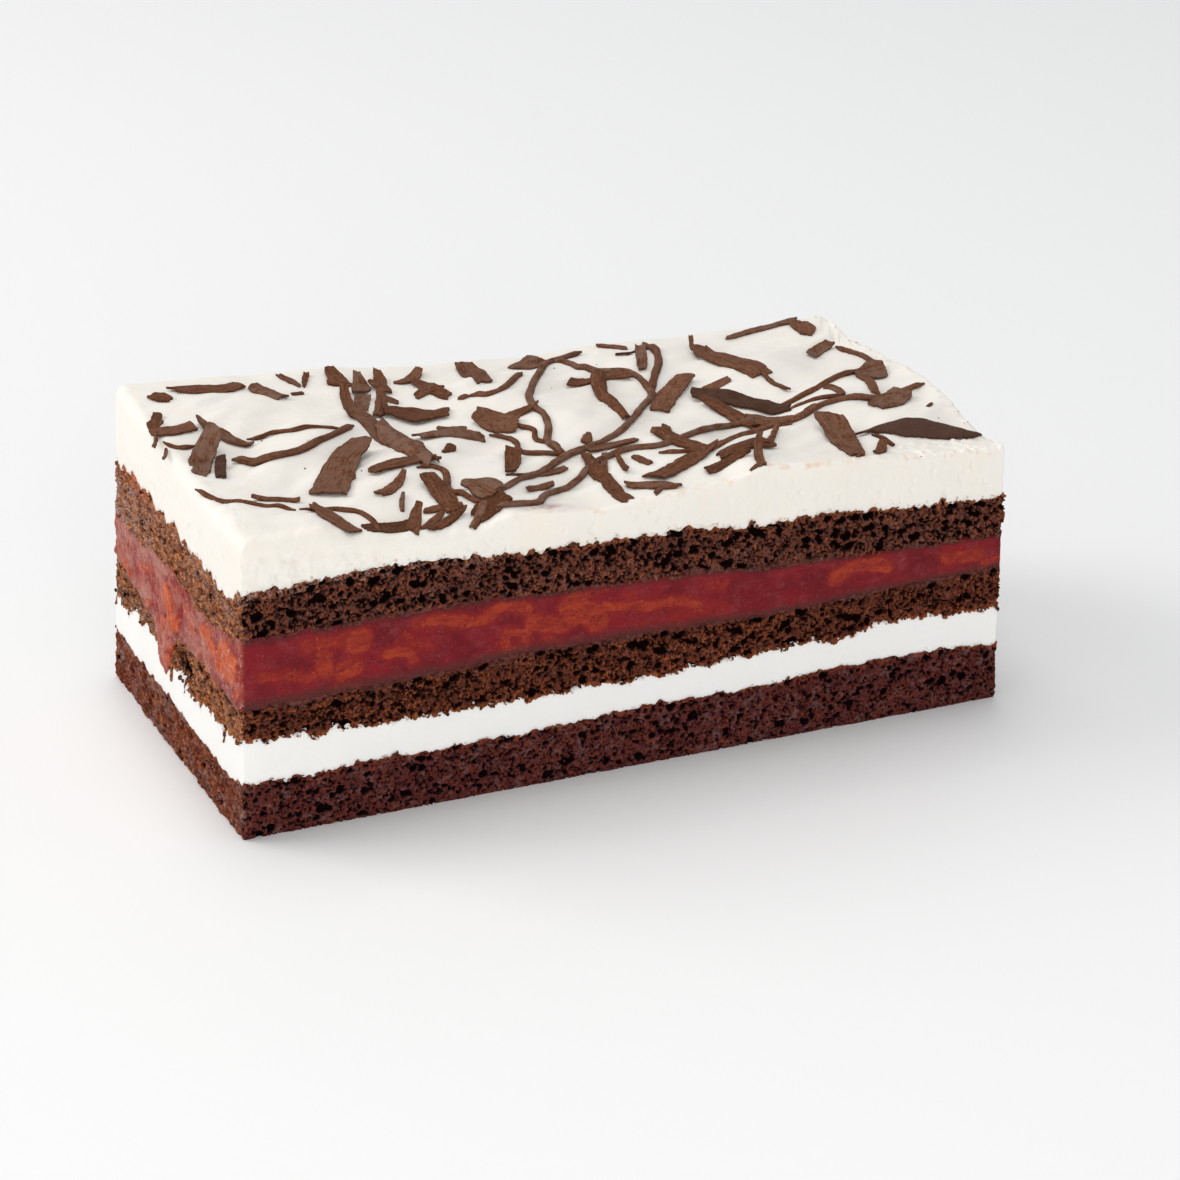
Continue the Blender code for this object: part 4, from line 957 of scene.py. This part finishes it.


# deep is the colour of the painted shade in pores and pits, and glint that of the painted highlights.
def sponge_material(name, ridge, glint, deep, end, rough, shine):
    g = Graph(name, ridge)
    fine, crumb, wide = g.noise(1700, 3, 0.65), g.noise(800, 3, 0.6), g.noise(260, 2)
    # Crumb in two tones, with painted highlights on its tips and lips, and a pale painted glow at the edges next
    # to cream.
    g.coat(g.range(crumb, 0.42, 0.66), shade(ridge, 0.5))
    g.coat(g.range(g.noise(110, 3, 0.6), 0.42, 0.62, 0, 0.5), shade(ridge, 0.5))
    tip = g.times(g.range(fine, 0.50, 0.62), g.range("pore", 0.5, 0), g.range(g.noise(150), 0.35, 0.65, 0.25, 0.9))
    g.coat(g.math("MAXIMUM", tip, g.times("lip", g.range(crumb, 0.45, 0.60, 0, 0.75))), glint)
    g.coat(g.times("edge_glow", g.range(g.noise(900, 2), 0.38, 0.54), 0.85), glint)
    film = g.mix(g.range(crumb, 0.40, 0.60), (0.140, 0.048, 0.042), (0.058, 0.017, 0.015))
    g.coat(g.times("soak", g.range(wide, 0.3, 0.6, 0.6, 0.95)), film)
    # The torn left end, with painted shade in the gaps between its crumbs and painted glints on them, and what the
    # knife smeared over it.
    knife = g.stretch(1, 0.45, 1)
    streaks = g.noise(420, 5, 0.7, knife)
    g.coat(g.times("left", g.range(g.noise(700, 4, 0.7, knife), 0.44, 0.58)), end)
    # Painted shade in the gaps of the torn crumb, then painted glints on it.
    g.coat(g.times("left", g.range(g.noise(330, 3, 0.6, knife), 0.56, 0.64, 0, 0.8)), shade(end, 0.25))
    g.coat(g.times("left", g.range(g.noise(1250, 2, 0.55, knife), 0.54, 0.62, 0, 0.8)), shade(end, 1.7))
    smear = g.mix(g.range(fine, 0.48, 0.62), (0.30, 0.165, 0.135), (0.64, 0.46, 0.38))
    g.coat(g.times("drag", g.range(streaks, 0.44, 0.56), 0.8), smear)
    g.coat(g.times("blush", g.range(streaks, 0.40, 0.56)), (0.62, 0.17, 0.10))
    # Painted shade in fine pits between the modelled pores, which are only bumped, and in the pores, darker where
    # they are deeper.
    pits = g.times(g.range(g.cells(1150), 0.34, 0.16), g.range(wide, 0.42, 0.56))
    pits = g.times(pits, g.range("soak", 0.2, 0.8, 1, 0.15))
    g.coat(g.times(pits, g.range("left", 0, 1, 0.85, 0.55)), deep)
    g.coat(g.range("pore", 0.12, 0.70), deep)
    level = g.times(g.range(g.noise(420, 2), 0.5, 0.66), g.range("pore", 0.1, 0.6, shine, 0))
    height = g.math("SUBTRACT", g.math("ADD", g.noise(2600, 2, 0.7), fine), g.times(pits, 1.6))
    return g.finish((height, 0.8, 0.00035), Roughness=rough, Specular_IOR_Level=level)


def cherry_material():
    g = Graph("cherry_filling", (0.138, 0.0050, 0.010))
    streak, blotch = g.noise(420, 4, 0.62, g.stretch(0.5, 0.5, 1.4)), g.noise(330, 4, 0.65, g.stretch(1, 0.5, 1))
    wide, speck = g.noise(150, 4, 0.6), g.noise(1700, 2, 0.7)
    # Gel
    g.coat(g.range(wide, 0.35, 0.65), (0.215, 0.009, 0.014))
    mauve = g.times(g.range(g.noise(210, 5, 0.7), 0.46, 0.64, 0, 0.8), g.range(streak, 0.38, 0.58))
    g.coat(mauve, (0.215, 0.030, 0.036))
    g.coat(g.range("fruit", 0, 0.28, 0, 0.7), (0.235, 0.0125, 0.0115))
    torn = g.mix(g.range(blotch, 0.42, 0.58), (0.27, 0.028, 0.024), (0.40, 0.095, 0.060))
    g.coat(g.times("left", 0.85), torn)
    # Flesh
    flesh = g.mix(g.range(streak, 0.36, 0.62), (0.355, 0.039, 0.014), (0.245, 0.019, 0.012))
    peach = g.mix(g.range(blotch, 0.40, 0.60), (0.46, 0.064, 0.016), (0.60, 0.120, 0.028))
    flesh = g.mix(g.times("left", 0.9), flesh, peach)
    # Painted highlight specks on the flesh.
    flesh = g.mix(g.range(speck, 0.55, 0.75, 0, 0.3), flesh, (0.50, 0.10, 0.045))
    fuzz = g.times(g.math("SUBTRACT", g.noise(1000, 4, 0.7), 0.5), 1.1, g.range("fruit", 0.02, 0.2))
    core = g.range(g.math("ADD", "fruit", fuzz), 0.28, 0.92)
    g.coat(g.times(core, g.range(g.noise(380, 4, 0.65), 0.28, 0.50, 0.6, 1)), flesh)
    # Pits, the sponge's edges, specks, and the film over the torn end.
    pit = g.times(g.range(g.noise(700, 3, 0.6), 0.60, 0.68), g.range("left", 0, 1, 0.55, 0.25))
    g.coat(pit, (0.10, 0.005, 0.008))
    front = g.range("left", 0, 1, 1, 0.35)
    g.coat(g.times(g.range("rise", 0.22, 0), g.range(wide, 0.3, 0.6, 0.55, 1), front), (0.088, 0.019, 0.017))
    g.coat(g.times(g.range("rise", 0.90, 1, 0, 0.6), front), (0.085, 0.010, 0.011))
    g.coat(g.range(speck, 0.42, 0.28, 0, 0.6), (0.075, 0.004, 0.007))
    g.coat(g.range(speck, 0.60, 0.74, 0, 0.4), (0.36, 0.08, 0.08))
    g.coat(g.times("haze", g.range(g.noise(600, 4, 0.7), 0.38, 0.58, 0.2, 0.85)), (0.42, 0.165, 0.125))
    g.coat(g.times("left", g.range(g.noise(1100, 3, 0.65), 0.60, 0.68, 0, 0.7)), (0.62, 0.34, 0.28))
    return g.finish(
        (g.math("ADD", speck, streak), 0.5, 0.0003), Roughness=g.range(g.noise(300), 0.35, 0.7, 0.3, 0.55),
        Specular_IOR_Level=0.13, Subsurface_Weight=0.12, Subsurface_Scale=0.0015, Subsurface_Radius=(1, 0.25, 0.2),
    )


def cream_material(name, pale, warm):
    g = Graph(name, pale)
    g.coat(g.range(g.noise(60), 0.3, 0.7), warm)
    g.coat(g.times(g.range(g.noise(900), 0.50, 0.72), g.range("grime", 0.2, 1), 0.8), (0.34, 0.17, 0.085))
    if name == "cream_top":
        g.coat(g.times("smear", g.range(g.noise(500), 0.35, 0.6, 0.3, 1)), (0.35, 0.17, 0.16))
        stain = g.noise(130, 4, 0.65, g.stretch(1, 1, 0.35))
        g.coat(g.range(stain, 0.52, 0.72, 0, 0.45), (0.93, 0.84, 0.71))
        g.coat(g.times("crest", g.range(g.noise(350), 0.5, 0.68), 0.5), (0.80, 0.50, 0.28))
    height = g.math("ADD", g.noise(1100, 3, 0.6), g.noise(900, 2, 0.55, g.stretch(1, 1, 0.12)))
    return g.finish(
        (height, 0.22, 0.0003), Roughness=0.5, Specular_IOR_Level=0.3,
        Subsurface_Weight=0.35, Subsurface_Scale=0.002, Subsurface_Radius=(1, 0.85, 0.7),
    )


def chocolate_material():
    g = Graph("chocolate", (0.100, 0.034, 0.015))
    grain = g.node("ShaderNodeAttribute", attribute_name="grain").outputs["Vector"]
    lines = g.noise(1, 4, 0.65, g.stretch(0.2, 2.4, 1, grain))
    cloudy = g.noise(1, 3, 0.6, g.stretch(0.35, 0.45, 1, grain))
    grit = g.noise(1500, 3, 0.65)
    g.coat(g.range(lines, 0.35, 0.65), (0.230, 0.095, 0.050))
    g.coat(g.range("bloom", 0.35, 0, 0, 0.6), (0.070, 0.024, 0.010))
    g.coat(g.times(g.range("bloom", 0.4, 0.6), g.range("bloom", 0.7, 0.6, 0, 0.45)), (0.31, 0.150, 0.095))
    g.coat(g.range(cloudy, 0.40, 0.62, 0, 0.5), (0.145, 0.055, 0.025))
    g.coat(g.range(grit, 0.5, 0.66, 0, 0.6), (0.060, 0.020, 0.009))
    g.coat(g.range(grit, 0.42, 0.30, 0, 0.5), (0.31, 0.155, 0.090))
    g.coat(g.times(g.range("bloom", 0.6, 0.9, 0, 0.6), g.range(cloudy, 0.40, 0.58)), (0.25, 0.155, 0.115))
    # The lens-shaped flake, the darkest flakes, and painted shade on the undersides and down the edges.
    g.coat(g.range("bloom", -0.4, -0.8, 0, 0.7), (0.090, 0.052, 0.041))
    g.coat(g.range("bloom", 1.2, 1.8, 0, 0.75), (0.050, 0.021, 0.014))
    g.coat(g.times("rim", 0.8), (0.055, 0.017, 0.008))
    height = g.math("ADD", lines, g.times(grit, 0.9))
    dull = g.range(cloudy, 0.3, 0.7, 0.5, 0.7)
    return g.finish((height, 0.8, 0.0005), Roughness=dull, Specular_IOR_Level=0.06)


def crumb_material():
    g = Graph("crumbs", (0.05, 0.017, 0.009))
    g.coat("tone", (0.34, 0.12, 0.04))
    g.coat(g.range(g.noise(1500), 0.4, 0.6, 0, 0.8), (0.07, 0.024, 0.012))
    g.coat(g.range("tone", 1.2, 1.8), (0.70, 0.33, 0.13))
    return g.finish(Roughness=0.8, Specular_IOR_Level=0.1)


# orange is the painted glint of lit crumb tips, lips and edges.
orange = (0.37, 0.098, 0.031)
# black is the painted shade in the pores and pits.
black = (0.0055, 0.0022, 0.0017)
upper_mat = sponge_material("sponge", (0.130, 0.049, 0.040), orange, black, (0.40, 0.155, 0.065), 0.7, 0.25)
middle_mat = sponge_material("sponge_2", (0.112, 0.033, 0.023), orange, black, (0.38, 0.140, 0.052), 0.7, 0.2)
# The soaked sponge has its own glint and painted pore shade colours.
moist = sponge_material(
    "soaked_sponge", (0.104, 0.028, 0.028), (0.24, 0.054, 0.024), (0.006, 0.0025, 0.0035), (0.22, 0.066, 0.031),
    0.45, 0.5,
)
red = cherry_material()
white = cream_material("cream", (0.925, 0.905, 0.87), (0.93, 0.915, 0.885))
white_top = cream_material("cream_top", (0.90, 0.85, 0.775), (0.91, 0.865, 0.80))
brown = chocolate_material()
crumb_mat = crumb_material()

sponge("lower_sponge_crumb", BASE, LOWER_TOP, 101, moist, (0.045, 0.30, 1.9), 0.6)
lower_cream_layer(white)
sponge("middle_sponge_crumb", MIDDLE_BASE, CHERRY_LOW, 102, middle_mat, (0.055, 0.38, 2.4), 0.7)
cherry_layer(red)
cherry_tongue(red)
sponge("upper_sponge_crumb", CHERRY_HIGH, UPPER_TOP, 103, upper_mat, (0.085, 0.44, 2.6), 0.6)
top_cream_layer(white_top)

flakes = Parts()
for number, spec in enumerate(SHAVINGS):
    add_shaving(flakes, number, spec, 9 + round(spec[3] * 1.4), 10 if max(spec[4:7]) > 4 else 7)
for number, spec in enumerate(SMALL_SHAVINGS):
    add_shaving(flakes, 200 + number, spec, 9 + round(spec[3]), 6)
flakes.make("chocolate_shavings", brown)
strands = Parts()
for number, spec in enumerate(THREADS):
    add_thread(strands, number, spec[0], spec[1:])
strands.make("chocolate_threads", brown)

# Crumbs at the edges of the sponges, then specks on the top, its right end and its front.
crumbs = Parts()
rng = np.random.default_rng(77)
for level, sign, many in ((LOWER_TOP, 1, 70), (MIDDLE_BASE, -1, 80), (UPPER_TOP, 1, 90)):
    for _ in range(many):
        i = rng.integers(0, len(S))
        if rng.random() < 0.6:
            i = rng.choice(np.where(ON_FRONT | ON_LEFT)[0])
        away = abs(rng.normal(0, 0.12)) - 0.25
        z = EDGES[level][i] + sign * away
        size = rng.uniform(0.2, 0.5)
        depth = 0.26 - 0.3 * size
        centre = np.array([RX[i] + lean(RX[i], RY[i], z) - NX[i] * depth, RY[i] - NY[i] * depth, z])
        add_crumb(crumbs, centre, size, rng, rng.random())
for number in range(50):
    x, y, size, tone = rng.uniform(-84, 84), rng.uniform(-40, 40), rng.uniform(0.12, 0.25), 0.5
    if number > 13:
        x, y, size, tone = 86.0 - abs(rng.normal(0, 0.7)), rng.uniform(-30, 41), rng.uniform(0.08, 0.2), 2.0
    if number > 38:
        x, y = rng.uniform(-15, 80), -42.0
    z = surface(x, y)
    add_crumb(crumbs, np.array([x + lean(x, y, z), y, z + 0.2 * size]), size, rng, tone)
crumbs.make("crumbs", crumb_mat, flat=True)

# Floor, light and camera
mesh = bpy.data.meshes.new("floor")
mesh.from_pydata([(-4, -4, 0), (4, -4, 0), (4, 4, 0), (-4, 4, 0)], [], [(0, 1, 2, 3)])
mesh.materials.append(Graph("floor", (0.95, 0.95, 0.945)).finish(Roughness=0.45, Specular_IOR_Level=0.3))
floor = bpy.data.objects.new("floor", mesh)
bpy.context.scene.collection.objects.link(floor)

world = bpy.data.worlds.new("studio")
world.use_nodes = True
background = world.node_tree.nodes["Background"]
background.inputs["Color"].default_value = (0.95, 0.97, 1, 1)
background.inputs["Strength"].default_value = 0.48
bpy.context.scene.world = world


def lamp(name, place, target, size, power, colour):
    light = bpy.data.lights.new(name, "AREA")
    light.shape = "SQUARE"
    light.size = size
    light.energy = power
    light.color = colour
    obj = bpy.data.objects.new(name, light)
    obj.location = place
    obj.rotation_euler = (Vector(target) - Vector(place)).to_track_quat("-Z", "Y").to_euler()
    bpy.context.scene.collection.objects.link(obj)


lamp("key", (-1.2, -0.1, 0.45), (0, 0, 0.03), 0.8, 0.9, (1, 0.985, 0.955))
lamp("front_fill", (-0.35, -1.3, 0.4), (0, 0, 0.03), 0.9, 7, (1, 0.995, 0.985))
lamp("overhead", (-0.1, 0.6, 2.6), (0, 0.2, 0), 1.6, 21, (1, 0.99, 0.97))
lamp("window", (-1.3, 0.9, 1), (0, 0.1, 0), 1, 13, (1, 0.985, 0.96))

# The camera's place and turns were fitted to the corners of the slice in the photograph.
camera_data = bpy.data.cameras.new("camera")
camera_data.sensor_width = 36.0
camera_data.lens = 95.5
camera_data.clip_start = 0.01
camera_data.clip_end = 20.0
camera = bpy.data.objects.new("camera", camera_data)
yaw, pitch, roll = -0.4424, 0.4015, 0.0186
turned = Matrix.Rotation(yaw, 4, "Z") @ Matrix.Rotation(math.pi / 2 - pitch, 4, "X")
turned = turned @ Matrix.Rotation(roll, 4, "Z")
camera.matrix_world = Matrix.Translation((-0.2607, -0.5677, 0.2883)) @ turned
bpy.context.scene.collection.objects.link(camera)
bpy.context.scene.camera = camera

bpy.context.scene.view_settings.view_transform = "Standard"
bpy.context.scene.view_settings.look = "None"
